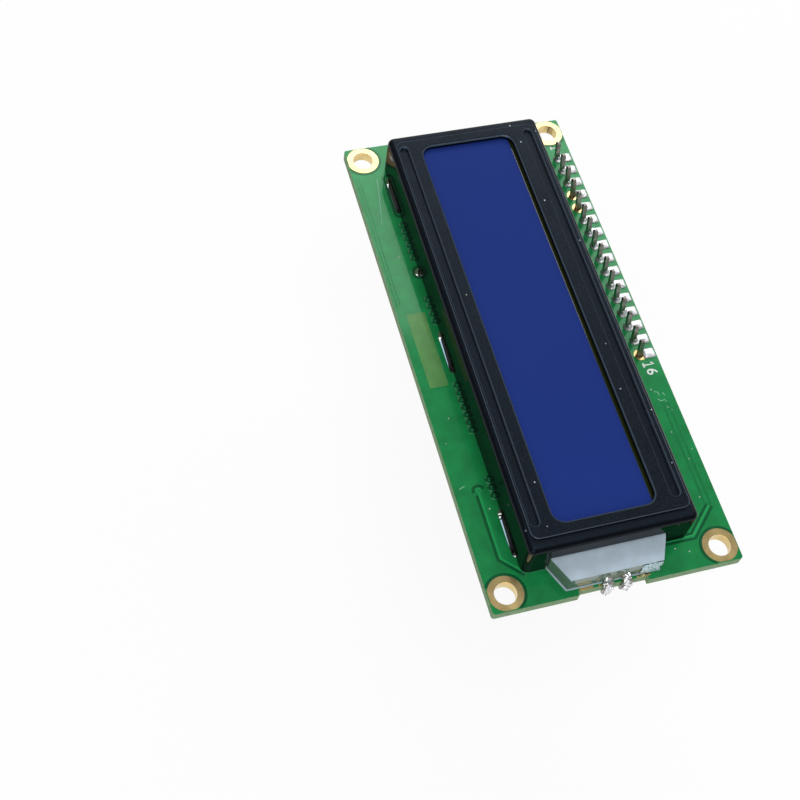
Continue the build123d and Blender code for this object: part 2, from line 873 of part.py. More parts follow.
def make_jumper_cap():
    cap = along_x(cap_length, cap_width, cap_height)
    cap = chamfer(cap.edges().filter_by(Axis.X), cap_bevel)
    pocket_width = pin_pitch + clip_sleeve_side() + 2 * clip_gap
    pocket_height = cap_height - 2 * cap_wall
    cap -= along_x(cap_length - cap_end_wall, pocket_width, pocket_height)
    bore = pin_side + 2 * pin_slide_clearance
    for side in (-1, 1):
        cap -= Pos(0, side * pin_pitch / 2, 0) * along_x(2 * cap_length, bore, bore)
    step = along_x(cap_step_length, 2 * cap_width, 2 * cap_step_depth)
    cap -= Pos(cap_length - cap_step_length, 0, cap_height / 2) * step
    notch = SlotOverall(2 * cap_window_length, cap_window_width)
    cap -= Pos(cap_length, 0, 0) * slab(notch, 0, cap_height)
    return on_jumper(cap_start) * cap


def make_jumper_clip():
    """Two square sleeves joined by a bridge under the cap's top wall."""
    side = clip_sleeve_side()
    bore = side - 2 * clip_wall
    bridge_z = side / 2
    clip = Pos(0, 0, bridge_z - clip_wall / 2) * along_x(clip_length, pin_pitch, clip_wall)
    for y in (-pin_pitch / 2, pin_pitch / 2):
        clip += Pos(0, y, 0) * (along_x(clip_length, side, side) - along_x(clip_length, bore, bore))
    start = cap_start + cap_length - cap_end_wall - clip_gap - clip_length
    return on_jumper(start) * clip


# Transistor
def make_transistor():
    outline = Rectangle(transistor_length, transistor_width)
    body = moulded_body(
        outline, transistor_standoff, transistor_height, transistor_band, transistor_draft
    )
    return on_adapter(*transistor_at) * body


def make_transistor_leads():
    level = (transistor_standoff + transistor_height - transistor_lead_thickness) / 2
    lead = gull_lead(
        transistor_width / 2,
        transistor_lead_span / 2,
        transistor_lead_width,
        transistor_lead_thickness,
        level,
        transistor_lead_foot,
        transistor_lead_knee,
    )
    pair = [Pos(x, 0, 0) * Rot(0, 0, 90) * lead for x in (-transistor_lead_spread, transistor_lead_spread)]
    return on_adapter(*transistor_at) * group(pair + [Rot(0, 0, -90) * lead])


# Chip parts on the adapter
def adapter_resistor_locations():
    return [on_adapter(*at) * Rot(0, 0, turn) for at, turn in adapter_resistor_places]


def make_adapter_resistors():
    body = chip_body(small_chip_length, small_chip_width, small_chip_height)
    return group([place * body for place in adapter_resistor_locations()])


def make_adapter_resistor_ends():
    ends = chip_ends(small_chip_length, small_chip_width, small_chip_height)
    return group([place * end for place in adapter_resistor_locations() for end in ends])


def upright_chip(at, shape):
    return on_adapter(*at) * Rot(0, 0, 90) * shape


nodes = {
    "main_board": make_main_board(),
    "mount_rings": make_mount_rings(),
    "tab_pads": make_tab_pads(),
    "bezel": make_bezel(),
    "front_glass": make_front_glass(),
    "rear_glass": make_rear_glass(),
    "front_polariser": make_front_polariser(),
    "rear_polariser": make_rear_polariser(),
    "contact_strips": make_contact_strips(),
    "light_guide": make_light_guide(),
    "diffuser_film": make_diffuser_film(),
    "reflector_film": make_reflector_film(),
    "backlight_led": make_backlight_led(),
    "led_leads": make_led_leads(),
    "driver_blob_upper": make_driver_blob(blob_upper_at, blob_upper_radius),
    "driver_blob_lower": make_driver_blob(blob_lower_at, blob_lower_radius),
    "board_resistors": make_board_resistors(),
    "board_resistor_ends": make_board_resistor_ends(),
    "solder_bridge": make_solder_bridge(),
    "row_pins": make_row_pins(),
    "pin_spacer": make_pin_spacer(),
    "front_solder": make_front_solder(),
    "adapter_solder": make_adapter_solder(),
    "adapter_board": make_adapter_board(),
    "expander_chip": make_expander_chip(),
    "expander_leads": make_expander_leads(),
    "trimmer_body": make_trimmer_body(),
    "trimmer_rotor": make_trimmer_rotor(),
    "trimmer_pins": make_trimmer_pins(),
    "bus_header": make_header(bus_points()),
    "bus_pins": group(header_pins(bus_points(), 180, bus_arm)),
    "jumper_header": make_header(jumper_points()),
    "jumper_pins": group(header_pins(jumper_points(), 0, jumper_arm)),
    "inner_solder": make_inner_solder(),
    "jumper_cap": make_jumper_cap(),
    "jumper_clip": make_jumper_clip(),
    "transistor": make_transistor(),
    "transistor_leads": make_transistor_leads(),
    "adapter_resistors": make_adapter_resistors(),
    "adapter_resistor_ends": make_adapter_resistor_ends(),
    "chip_capacitor": upright_chip(capacitor_at, chip_body(*capacitor_size)),
    "chip_capacitor_ends": upright_chip(capacitor_at, group(chip_ends(*capacitor_size))),
    "power_led": upright_chip(power_led_at, chip_body(*power_led_size)),
    "power_led_ends": upright_chip(power_led_at, group(chip_ends(*power_led_size))),
}

for name, shape in nodes.items():
    export_step(shape, f"parts/{name}.step")
    print(name, len(shape.solids()), round(shape.volume, 3))
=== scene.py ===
"""Looks of a character display module: finishes, copper, ink, solder and a studio."""

from math import atan2, cos, degrees, pi, radians, sin
from random import Random

import bpy
from mathutils import Matrix, Vector


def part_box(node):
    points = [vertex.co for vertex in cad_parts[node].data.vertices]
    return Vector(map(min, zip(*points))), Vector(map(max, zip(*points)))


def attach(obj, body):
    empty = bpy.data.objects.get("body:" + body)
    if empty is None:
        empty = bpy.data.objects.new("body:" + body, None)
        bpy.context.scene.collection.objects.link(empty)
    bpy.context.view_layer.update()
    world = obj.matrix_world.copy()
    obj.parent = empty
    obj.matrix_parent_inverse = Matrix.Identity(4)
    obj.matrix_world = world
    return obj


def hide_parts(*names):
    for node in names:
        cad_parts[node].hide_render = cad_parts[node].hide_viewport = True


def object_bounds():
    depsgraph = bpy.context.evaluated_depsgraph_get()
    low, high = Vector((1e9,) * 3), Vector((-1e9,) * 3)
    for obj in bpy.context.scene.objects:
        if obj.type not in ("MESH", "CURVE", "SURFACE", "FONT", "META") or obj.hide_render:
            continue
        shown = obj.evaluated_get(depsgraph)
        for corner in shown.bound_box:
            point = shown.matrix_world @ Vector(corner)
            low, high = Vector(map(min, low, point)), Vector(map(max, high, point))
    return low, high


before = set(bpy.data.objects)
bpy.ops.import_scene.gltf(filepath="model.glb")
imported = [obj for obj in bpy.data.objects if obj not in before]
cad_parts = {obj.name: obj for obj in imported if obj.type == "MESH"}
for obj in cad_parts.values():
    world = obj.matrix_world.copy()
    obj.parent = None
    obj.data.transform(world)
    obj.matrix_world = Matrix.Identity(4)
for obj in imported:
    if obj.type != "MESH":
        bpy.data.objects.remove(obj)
cad_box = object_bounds()

bl_info = {
    "name": "Character display module",
    "version": (1, 0, 0),
    "blender": (4, 5, 0),
    "location": "3D View > Sidebar > Display",
    "description": "Dresses the packed display module with its finishes and fine detail",
    "category": "Object",
}

# Modelling is done in millimetres and every finished mesh is brought to metres
MM = 0.001
METRES = Matrix.Scale(MM, 4)
MODULE = "module"
WHITE = (1, 1, 1, 1)


def reach(node):
    """Lowest and highest corner of a solid, in millimetres."""
    low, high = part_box(node)
    return Vector(low) / MM, Vector(high) / MM


board_low, board_high = reach("main_board")
bezel_top = reach("bezel")[1].z
first_pin_x = -32.0
pin_row_y = 15.5
pin_pitch = 2.54
pin_count = 16

# The adapter lies behind the board, face down, and leans 8 degrees on its pins
adapter_tilt = radians(188)
adapter_face_height = 3.94
spacer_at = Vector((first_pin_x, 15.63688, -1.77396))

FRONT = Matrix.Identity(4)
BACK = Matrix.Translation((0, 0, board_low.z)) @ Matrix.Rotation(pi, 4, "X")
ADAPTER = Matrix.Translation(spacer_at) @ Matrix.Rotation(adapter_tilt, 4, "X")
ADAPTER_FACE = ADAPTER @ Matrix.Translation((0, 0, adapter_face_height))


def paint(red, green, blue):
    """Display colour from 0 to 255 as a linear colour."""
    levels = [level / 255 for level in (red, green, blue)]
    linear = [v / 12.92 if v <= 0.04045 else ((v + 0.055) / 1.055) ** 2.4 for v in levels]
    return (*linear, 1.0)


def seen_from_behind(points):
    """Places on the back, given in the module's own X and Y, in the back's frame."""
    return [(x, -y) for x, y in points]


# Settings that a user may change


def colour_setting(name, description, colour):
    return bpy.props.FloatVectorProperty(
        name=name, description=description, subtype="COLOR", size=4, min=0, max=1, default=colour
    )


def length_setting(name, description, length):
    """Setting for a length in millimetres."""
    return bpy.props.FloatProperty(
        name=name, description=description, unit="LENGTH", default=length * MM
    )


class BoardLook(bpy.types.PropertyGroup):
    """Colours and line sizes of the two printed boards"""

    mask_colour: colour_setting("Mask", "Green lacquer over copper", paint(22, 120, 64))
    gap_colour: colour_setting("Gaps", "Green lacquer between the copper", paint(7, 72, 40))
    adapter_colour: colour_setting("Adapter", "Black lacquer of the adapter", paint(42, 43, 47))
    wide_gap: length_setting("Wide gap", "Width of an etched gap on the front", 0.42)
    fine_gap: length_setting("Fine gap", "Width of an etched gap on the back", 0.24)
    line_height: length_setting("Relief", "Height of the lines over the board", 0.02)
    ink_width: length_setting("Ink width", "Width of a printed white line", 0.26)


class ModuleLook(bpy.types.PropertyGroup):
    """Colours of the display, the bezel and the trimmer"""

    display_colour: colour_setting("Display", "Blue of the front film", paint(31, 51, 121))
    bezel_colour: colour_setting("Bezel", "Black paint on the steel bezel", paint(14, 17, 23))
    trimmer_colour: colour_setting("Trimmer", "Blue plastic of the trimmer", paint(35, 100, 195))


class StageLook(bpy.types.PropertyGroup):
    """Studio light and camera"""

    lens: bpy.props.FloatProperty(
        name="Lens", description="Focal length on a 36 mm wide sensor", default=60.1, min=10
    )
    sky: bpy.props.FloatProperty(
        name="Sky", description="Brightness of the light from all round", default=0.2, min=0
    )
    floor_drop: length_setting("Floor drop", "From the module's lowest point to the floor", 25)


# Finishes


def new_node(tree, kind, inputs=None, **settings):
    """A shader node with its settings, plain values and links."""
    made = tree.nodes.new(kind)
    for key, value in settings.items():
        setattr(made, key, value)
    for key, value in (inputs or {}).items():
        if isinstance(value, bpy.types.NodeSocket):
            tree.links.new(value, made.inputs[key])
        else:
            made.inputs[key].default_value = value
    return made


class Finish:
    """A material whose colour, sheen and relief come from noise in the piece's own space."""

    def __init__(self, name, colour, roughness=0.4, metallic=0.0, **more):
        self.material = bpy.data.materials.new(name)
        self.material.use_nodes = True
        self.material.diffuse_color = colour
        self.tree = self.material.node_tree
        self.shader = self.tree.nodes["Principled BSDF"]
        self.set("Base Color", colour)
        self.set("Roughness", roughness)
        self.set("Metallic", metallic)
        for socket, value in more.items():
            self.set(socket.replace("_", " "), value)
        self.where = self.add("ShaderNodeTexCoord").outputs["Object"]

    def set(self, socket, value):
        self.shader.inputs[socket].default_value = value

    def add(self, kind, inputs=None, **settings):
        return new_node(self.tree, kind, inputs, **settings)

    def give(self, value, socket):
        self.tree.links.new(value, self.shader.inputs[socket])

    def show(self, surface):
        """Takes another shader than the plain one to the surface."""
        output = self.tree.nodes["Material Output"]
        self.tree.links.new(surface.outputs[0], output.inputs["Surface"])

    def noise(self, scale, detail=3.0, stretch=(1, 1, 1)):
        spread = self.add("ShaderNodeMapping", {"Vector": self.where, "Scale": stretch})
        made = self.add(
            "ShaderNodeTexNoise",
            {"Vector": spread.outputs["Vector"], "Scale": scale, "Detail": detail},
        )
        return made.outputs["Fac"]

    def sums(self, operation, first, second=0.0, third=0.0):
        made = self.add("ShaderNodeMath", {0: first, 1: second, 2: third}, operation=operation)
        return made.outputs["Value"]

    def both(self, first, second):
        """Product of two shares."""
        return self.sums("MULTIPLY", first, second)

    def past(self, value, limit):
        """One where a coordinate is over a limit in millimetres, and zero elsewhere."""
        return self.sums("GREATER_THAN", value, limit * MM)

    def short_of(self, value, limit):
        """One where a coordinate is under a limit in millimetres, and zero elsewhere."""
        return self.sums("LESS_THAN", value, limit * MM)

    def ramp(self, value, stops):
        """Colour from a value, at each (place, colour) stop."""
        made = self.add("ShaderNodeValToRGB", {"Fac": value})
        bar = made.color_ramp
        while len(bar.elements) < len(stops):
            bar.elements.new(0.5)
        for element, (place, colour) in zip(bar.elements, stops):
            element.position = place
            element.color = colour
        return made.outputs["Color"]

    def step(self, value, low, high, start=0.0, end=1.0):
        """Value taken from one range to another and held at its ends."""
        made = self.add("ShaderNodeMapRange", {"Value": value, 1: low, 2: high, 3: start, 4: end})
        return made.outputs["Result"]

    def mix(self, share, first, second):
        """Value between two values."""
        made = self.add(
            "ShaderNodeMix", {"Factor": share, "A": first, "B": second}, data_type="FLOAT"
        )
        return made.outputs["Result"]

    def blend(self, share, first, second):
        """Colour between two colours."""
        made = self.add("ShaderNodeMix", {0: share, 6: first, 7: second}, data_type="RGBA")
        return made.outputs[2]

    def mottle(self, colours, scale):
        """Colour wandering between two tones."""
        dark, light = colours
        self.give(self.ramp(self.noise(scale), [(0.25, dark), (0.75, light)]), "Base Color")

    def polish(self, low, high, scale):
        """Sheen wandering between two roughnesses."""
        self.give(self.step(self.noise(scale), 0.3, 0.7, low, high), "Roughness")

    def grain(self, scale, depth):
        """Fine relief; depth is its height in millimetres."""
        self.relief(self.noise(scale, 2.0), depth)

    def relief(self, value, depth):
        depth = depth * MM
        made = self.add("ShaderNodeBump", {"Height": value, "Strength": 1.0, "Distance": depth})
        self.give(made.outputs["Normal"], "Normal")

    def axes(self, source="Object"):
        """The three separate coordinates of a place or of the face's own direction."""
        coords = self.add("ShaderNodeTexCoord").outputs[source]
        return self.add("ShaderNodeSeparateXYZ", {"Vector": coords}).outputs


def shade(colour, share):
    """A colour made darker or lighter."""
    return (*[min(1.0, level * share) for level in colour[:3]], 1.0)


def board_finish(name, colour, edge, turn):
    """Lacquer on a board's two faces and raw laminate on its cut edges."""
    tint = shade(colour, 1 / max(colour[:3]))
    made = Finish(name, colour, 0.3, Specular_Tint=tint, Coat_Weight=0.5, Coat_Roughness=0.08)
    facing = made.add(
        "ShaderNodeVectorRotate",
        {"Vector": made.add("ShaderNodeTexCoord").outputs["Normal"], "Angle": -turn},
        rotation_type="X_AXIS",
    )
    up = made.add("ShaderNodeSeparateXYZ", {"Vector": facing.outputs["Vector"]}).outputs["Z"]
    flat = made.step(made.sums("ABSOLUTE", up), 0.5, 0.6)
    weave = made.ramp(
        made.noise(420.0, 4.0), [(0.35, shade(colour, 0.86)), (0.68, shade(colour, 1.16))]
    )
    layers = made.ramp(
        made.noise(900.0, 4.0, (1, 1, 6)), [(0.35, shade(edge, 0.75)), (0.7, shade(edge, 1.15))]
    )
    made.give(made.blend(flat, layers, weave), "Base Color")
    sheen = made.step(made.noise(140.0), 0.3, 0.7, 0.28, 0.33)
    made.give(made.mix(flat, 0.85, sheen), "Roughness")
    made.give(made.both(flat, 0.5), "Coat Weight")
    made.relief(made.noise(1500.0, 3.0), 0.006)
    return made.material


def lacquer(name, colour):
    tint = shade(colour, 1 / max(colour[:3]))
    made = Finish(name, colour, 0.3, Specular_Tint=tint, Coat_Weight=0.4, Coat_Roughness=0.12)
    made.mottle((shade(colour, 0.85), shade(colour, 1.15)), 500.0)
    made.grain(1500.0, 0.008)
    return made.material


def metal(name, colour, roughness, scale=700.0, depth=0.01, spread=0.12):
    made = Finish(name, colour, roughness, 1.0)
    made.mottle((shade(colour, 0.8), shade(colour, 1.12)), scale)
    made.polish(max(0.05, roughness - spread), roughness + spread, scale * 0.6)
    made.grain(scale, depth)
    return made.material


def plastic(name, colour, roughness, scale=900.0, depth=0.01, **more):
    made = Finish(name, colour, roughness, **more)
    made.mottle((shade(colour, 0.85), shade(colour, 1.15)), scale)
    made.polish(roughness - 0.06, roughness + 0.08, scale * 0.4)
    made.grain(scale * 4, depth)
    return made.material


# Heights and places on the bezel for its painted highlight rims, its bare lower edge and its
# painted highlight tab strips, in millimetres
painted_rim_from = 6.62
lip_from, lip_fades, lip_to = -0.02, 0.07, 0.11
lip_side_y, lip_end_x = 11.2, 35.0
tab_first_x, tab_next_x = -3.2, 26.1
tab_edge, tab_slope, tab_foot = -1.1, -0.14, -1.58
near_tabs_x, near_tabs_y = -6.0, -12.0


def tab_highlight_strips(made, place):
    """Painted highlight: bright mirror strips on the two nearer tabs, low in their slots and
    narrower to one end, standing in for the floor seen through the slots.
    """
    along = made.sums("WRAP", place["X"], tab_next_x * MM, tab_first_x * MM)
    edge = made.sums("MULTIPLY_ADD", along, tab_slope, tab_edge * MM)
    low = made.both(made.sums("LESS_THAN", place["Z"], edge), made.past(place["Z"], tab_foot))
    near = made.both(made.past(place["X"], near_tabs_x), made.short_of(place["Y"], near_tabs_y))
    return made.both(low, near)


def bare_lip_highlight(made, place):
    """Bare steel on the walls' lower edge, shown only on the sides that face the light: partly
    real, partly a painted highlight.
    """
    low = made.step(place["Z"], lip_fades * MM, lip_to * MM, 1.0, 0.0)
    low = made.both(low, made.past(place["Z"], lip_from))
    sides = made.sums(
        "MAXIMUM", made.past(place["Y"], lip_side_y), made.past(place["X"], lip_end_x)
    )
    return made.both(low, sides)


def painted_steel(name, colour):
    """Black paint, grained on top and glossy on the walls, with painted shade on the walls,
    painted highlights on rims and tabs, dust, and bare lower edges partly lit as painted
    highlights.
    """
    made = Finish(name, colour, 0.4, Specular_IOR_Level=0.13, Specular_Tint=(0.5, 0.75, 1, 1))
    facing = made.sums("ABSOLUTE", made.axes("Normal")["Z"])
    place = made.axes()
    height = place["Z"]
    top = made.step(facing, 0.75, 0.97)
    grain = made.noise(6500.0, 2.0)
    bluish = paint(27, 33, 43)
    tone = made.ramp(grain, [(0.35, shade(colour, 0.6)), (0.52, colour), (0.7, bluish)])
    # Painted shade: walls and edges take a darker copy of the paint than the top
    tone = made.blend(top, shade(colour, 0.45), tone)
    # Painted highlight: fillets high on the bezel are lightened and made partly metallic, so they
    # read as lit rims
    rim = made.both(made.step(facing, 0.95, 0.86), made.step(facing, 0.42, 0.58))
    rim = made.both(rim, made.past(height, painted_rim_from))
    tone = made.blend(made.both(rim, 0.55), tone, paint(92, 108, 124))
    specks = made.add("ShaderNodeTexVoronoi", {"Vector": made.where, "Scale": 300.0})
    chosen = made.sums("GREATER_THAN", made.noise(75.0, 2.0), 0.62)
    dust = made.both(made.step(specks.outputs["Distance"], 0.025, 0.05, 1.0, 0.0), chosen)
    dusted = made.blend(made.both(dust, 0.45), tone, paint(150, 155, 160))
    # Bare steel on the walls' lower edge, kept to the lit sides as a painted highlight, and
    # painted highlight strips on the nearer tabs
    bare = made.sums("MAXIMUM", bare_lip_highlight(made, place), tab_highlight_strips(made, place))
    made.give(made.blend(bare, dusted, paint(214, 217, 220)), "Base Color")
    made.give(made.sums("MAXIMUM", bare, made.both(rim, 0.35)), "Metallic")
    sheen = made.mix(top, 0.1, made.step(made.noise(300.0), 0.3, 0.7, 0.36, 0.48))
    sheen = made.mix(rim, sheen, 0.24)
    below_board = made.step(height, -0.05 * MM, -0.02 * MM, 1.0, 0.0)
    sheen = made.mix(below_board, sheen, 0.6)
    made.give(made.mix(bare, sheen, 0.2), "Roughness")
    made.relief(made.both(grain, top), 0.012)
    return made.material


def display_film(name, colour):
    made = Finish(name, colour, 0.35, Specular_IOR_Level=0.02)
    made.mottle((shade(colour, 0.97), shade(colour, 1.03)), 60.0)
    made.grain(300.0, 0.002)
    return made.material


def clear(name, colour, roughness, transmission, ior=1.49):
    made = Finish(name, colour, roughness, Transmission_Weight=transmission, IOR=ior)
    made.mottle((shade(colour, 0.94), shade(colour, 1.04)), 120.0)
    made.grain(200.0, 0.01)
    return made.material


def ink_finish(name, colour):
    made = Finish(name, colour, 0.6)
    made.mottle((shade(colour, 0.88), shade(colour, 1.05)), 1500.0)
    made.grain(2500.0, 0.01)
    return made.material


finishes = {}


def mix_finishes(board, module):
    """Every finish of the module, by the name that the pieces use."""
    green, black = tuple(board.mask_colour), tuple(board.adapter_colour)
    finishes.update(
        board=board_finish("green_board", green, paint(140, 162, 128), 0.0),
        gap=lacquer("etched_gap", tuple(board.gap_colour)),
        copper_light=lacquer("masked_copper", shade(green, 1.45)),
        adapter=board_finish("black_board", black, paint(150, 156, 148), adapter_tilt),
        adapter_line=lacquer("black_relief", shade(black, 1.6)),
        gold=metal("gold_plating", paint(226, 200, 140), 0.22, 500.0, 0.006, 0.05),
        steel=painted_steel("painted_steel", tuple(module.bezel_colour)),
        film=display_film("blue_film", tuple(module.display_colour)),
        glass=clear("cell_glass", paint(42, 48, 20), 0.1, 0.3, 1.52),
        rubber=plastic("contact_rubber", paint(190, 92, 128), 0.7),
        acrylic=clear("light_guide_acrylic", paint(132, 166, 148), 0.1, 0.55),
        white=plastic("white_film", paint(172, 189, 202), 0.4, 300.0, 0.004),
        lamp=plastic("lamp_body", paint(214, 234, 232), 0.25),
        resin=plastic("black_resin", paint(34, 35, 40), 0.42, 500.0, 0.03),
        ceramic=plastic("chip_ceramic", paint(30, 29, 30), 0.45),
        brown=plastic("brown_ceramic", paint(138, 112, 80), 0.45),
        solder=metal("solder", paint(226, 227, 230), 0.42, 900.0, 0.03, 0.1),
        tin=metal("tinned_pins", paint(150, 148, 140), 0.34, 800.0, 0.012),
        moulded=plastic("black_moulding", paint(26, 26, 28), 0.4),
        epoxy=plastic("chip_case", paint(52, 53, 58), 0.55, 1500.0, 0.02),
        trimmer=plastic("blue_plastic", tuple(module.trimmer_colour), 0.32),
        rotor=plastic("grey_rotor", paint(170, 172, 170), 0.4),
        clip=metal("clip_metal", paint(190, 180, 140), 0.35),
        ink=ink_finish("white_ink", paint(226, 234, 230)),
        foil=plastic("foil", paint(176, 202, 208), 0.16, 400.0, 0.01, Metallic=0.3),
        lamp_case=plastic("lamp_case", paint(118, 126, 104), 0.35),
        bright_solder=metal("bright_solder", paint(234, 235, 238), 0.18, 900.0, 0.01, 0.06),
        dust=plastic("dust", paint(176, 190, 188), 0.6),
        bare=lacquer("bare_laminate", paint(80, 130, 72)),
        faint=lacquer("faint_line", shade(green, 0.8)),
        scuff=plastic("scuff", paint(120, 176, 150), 0.5),
    )


SOLID_FINISHES = {
    "board": ["main_board"],
    "gold": ["mount_rings", "tab_pads"],
    "steel": ["bezel"],
    "glass": ["front_glass", "rear_glass"],
    "film": ["front_polariser", "rear_polariser"],
    "rubber": ["contact_strips"],
    "acrylic": ["light_guide"],
    "white": ["diffuser_film", "reflector_film"],
    "lamp": ["power_led"],
    "lamp_case": ["backlight_led"],
    "tin": ["led_leads", "row_pins", "bus_pins", "jumper_pins", "trimmer_pins"],
    "resin": ["driver_blob_upper", "driver_blob_lower"],
    "ceramic": ["board_resistors", "adapter_resistors"],
    "brown": ["chip_capacitor"],
    "solder": [
        "board_resistor_ends",
        "solder_bridge",
        "front_solder",
        "adapter_solder",
        "expander_leads",
        "inner_solder",
        "transistor_leads",
        "adapter_resistor_ends",
        "chip_capacitor_ends",
        "power_led_ends",
    ],
    "moulded": ["pin_spacer", "bus_header", "jumper_header", "jumper_cap"],
    "adapter": ["adapter_board"],
    "epoxy": ["expander_chip", "transistor"],
    "trimmer": ["trimmer_body"],
    "rotor": ["trimmer_rotor"],
    "clip": ["jumper_clip"],
}


# Modelling steps that several pieces share


def start():
    """Leaves edit mode and selects nothing, so a new primitive stands alone."""
    if bpy.context.object and bpy.context.object.mode != "OBJECT":
        bpy.ops.object.mode_set(mode="OBJECT")
    bpy.ops.object.select_all(action="DESELECT")


def edit():
    bpy.ops.object.mode_set(mode="EDIT")
    bpy.ops.mesh.select_all(action="SELECT")


def close_up():
    """Turns all faces outwards and leaves edit mode."""
    bpy.ops.mesh.select_all(action="SELECT")
    bpy.ops.mesh.normals_make_consistent(inside=False)
    bpy.ops.object.mode_set(mode="OBJECT")
    return bpy.context.object


def turned(profile, sides):
    """Round solid from (radius, height) rings, from its foot to its top."""
    start()
    radius, height = profile[0]
    bpy.ops.mesh.primitive_circle_add(vertices=sides, radius=radius, fill_type="NGON")
    bpy.context.object.location.z = height
    bpy.ops.object.transform_apply()
    edit()
    for next_radius, next_height in profile[1:]:
        rise = {"value": (0, 0, next_height - height)}
        bpy.ops.mesh.extrude_region_move(TRANSFORM_OT_translate=rise)
        share = next_radius / radius
        bpy.ops.transform.resize(value=(share, share, 1), center_override=(0, 0, next_height))
        radius, height = next_radius, next_height
    return close_up()


def plate(length, width, height, corner=0.0, crown=0.0, sides=3):
    """Flat plate with rounded corners, and a domed top where it has a crown."""
    start()
    bpy.ops.mesh.primitive_plane_add(size=1)
    bpy.context.object.scale = (length, width, 1)
    bpy.ops.object.transform_apply()
    edit()
    if corner:
        bpy.ops.mesh.bevel(offset=corner, segments=sides, affect="VERTICES")
        bpy.ops.mesh.select_all(action="SELECT")
    bpy.ops.mesh.extrude_region_move(TRANSFORM_OT_translate={"value": (0, 0, height)})
    if crown:
        share = 1 - 0.5 * min(1, crown / min(length, width) + 0.4)
        for rise, shrink in ((crown * 0.6, share + (1 - share) * 0.5), (crown * 0.4, share)):
            bpy.ops.mesh.extrude_region_move(TRANSFORM_OT_translate={"value": (0, 0, rise)})
            middle = (0, 0, height + rise)
            bpy.ops.transform.resize(value=(shrink, shrink, 1), center_override=middle)
    return close_up()


def shaped(piece, kind, **settings):
    """Applies one modifier to a piece."""
    bpy.context.view_layer.objects.active = piece
    change = piece.modifiers.new("change", kind)
    for key, value in settings.items():
        setattr(change, key, value)
    bpy.ops.object.modifier_apply(modifier=change.name)
    return piece


def band(outer, inner, height, sides=32):
    """Flat ring standing on z zero."""
    start()
    middle = (0, 0, height / 2)
    bpy.ops.mesh.primitive_cylinder_add(
        vertices=sides, radius=outer, depth=height, end_fill_type="NOTHING", location=middle
    )
    bpy.ops.object.transform_apply()
    return shaped(bpy.context.object, "SOLIDIFY", thickness=outer - inner, offset=-1)


def lines(routes, width, height, closed=False):
    """Low raised lines along several routes, as one mesh."""
    start()
    curve = bpy.data.curves.new("lines", "CURVE")
    curve.dimensions = "3D"
    curve.bevel_depth = width / 2
    curve.bevel_resolution = 0
    curve.use_fill_caps = True
    for route in routes:
        spline = curve.splines.new("POLY")
        spline.points.add(len(route) - 1)
        for point, (x, y) in zip(spline.points, route):
            point.co = (x, y, 0, 1)
        spline.use_cyclic_u = closed
    piece = bpy.data.objects.new("lines", curve)
    bpy.context.scene.collection.objects.link(piece)
    bpy.context.view_layer.objects.active = piece
    piece.select_set(True)
    bpy.ops.object.convert(target="MESH")
    piece = bpy.context.object
    piece.scale.z = 2 * height / width
    bpy.ops.object.transform_apply()
    return piece


def words(text, size, thickness, width=0.0):
    """Printed numbers as a mesh that stands on its middle."""
    start()
    bpy.ops.object.text_add()
    letters = bpy.context.object.data
    letters.body = text
    letters.size = size
    letters.align_x = "CENTER"
    letters.align_y = "CENTER"
    letters.extrude = thickness
    letters.offset = width
    letters.resolution_u = 3
    bpy.ops.object.convert(target="MESH")
    return bpy.context.object


def soften(piece):
    """Rounds a coarse shape."""
    return shaped(piece, "SUBSURF", levels=2, render_levels=2)


def flow(piece, voxel):
    """Runs overlapping lumps into one."""
    return shaped(piece, "REMESH", mode="VOXEL", voxel_size=voxel)


def crumple(piece, size, depth):
    """Makes a surface uneven, with hollows of one size."""
    clouds = bpy.data.textures.new("clouds", "CLOUDS")
    clouds.noise_scale = size
    return shaped(piece, "DISPLACE", texture=clouds, texture_coords="LOCAL", strength=depth)


def move(piece, x, y, z=0.0, turn=FRONT):
    """Takes a piece to its place, turned first about its own middle."""
    piece.data.transform(Matrix.Translation((x, y, z)) @ turn)
    return piece


def copies(piece, places):
    """One joined mesh with a copy of the piece at each place."""
    made = []
    for place in places:
        twin = piece.copy()
        twin.data = piece.data.copy()
        twin.data.transform(place)
        bpy.context.scene.collection.objects.link(twin)
        made.append(twin)
    bpy.data.objects.remove(piece)
    return join(made)


def join(pieces):
    start()
    for piece in pieces:
        piece.select_set(True)
    bpy.context.view_layer.objects.active = pieces[0]
    if len(pieces) > 1:
        bpy.ops.object.join()
    return pieces[0]


def at(points, turn=0.0, height=0.0):
    """Places of copies at (x, y) points, all turned alike."""
    spin = Matrix.Rotation(radians(turn), 4, "Z")
    return [Matrix.Translation((x, y, height)) @ spin for x, y in points]


def settle(piece, name, finish, side=FRONT, body=MODULE, smooth=35.0):
    """Finished piece: its place goes into its mesh, and it takes its finish and body."""
    start()
    piece.name = piece.data.name = name
    piece.data.transform(METRES @ side @ piece.matrix_world)
    piece.matrix_world = Matrix.Identity(4)
    piece.select_set(True)
    bpy.context.view_layer.objects.active = piece
    bpy.ops.object.shade_smooth_by_angle(angle=radians(smooth))
    piece.data.materials.clear()
    piece.data.materials.append(finishes[finish])
    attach(piece, body)
    return piece


def on_board(piece, name, finish="gap", side=FRONT):
    return settle(piece, name, finish, side)


def parallel(route, count, pitch):
    """Routes beside the first one, each a pitch further to its left."""
    points = [Vector(p) for p in route]
    made = []
    for step in range(count):
        line = []
        for i, here in enumerate(points):
            before = (here - points[i - 1]).normalized() if i else None
            after = (points[i + 1] - here).normalized() if i < len(points) - 1 else None
            first = before or after
            last = after or before
            side = Vector((-first.y - last.y, first.x + last.x)).normalized()
            stretch = 1 / max(0.3, side.dot(Vector((-first.y, first.x))))
            line.append(tuple(here + side * step * pitch * stretch))
        made.append(line)
    return made


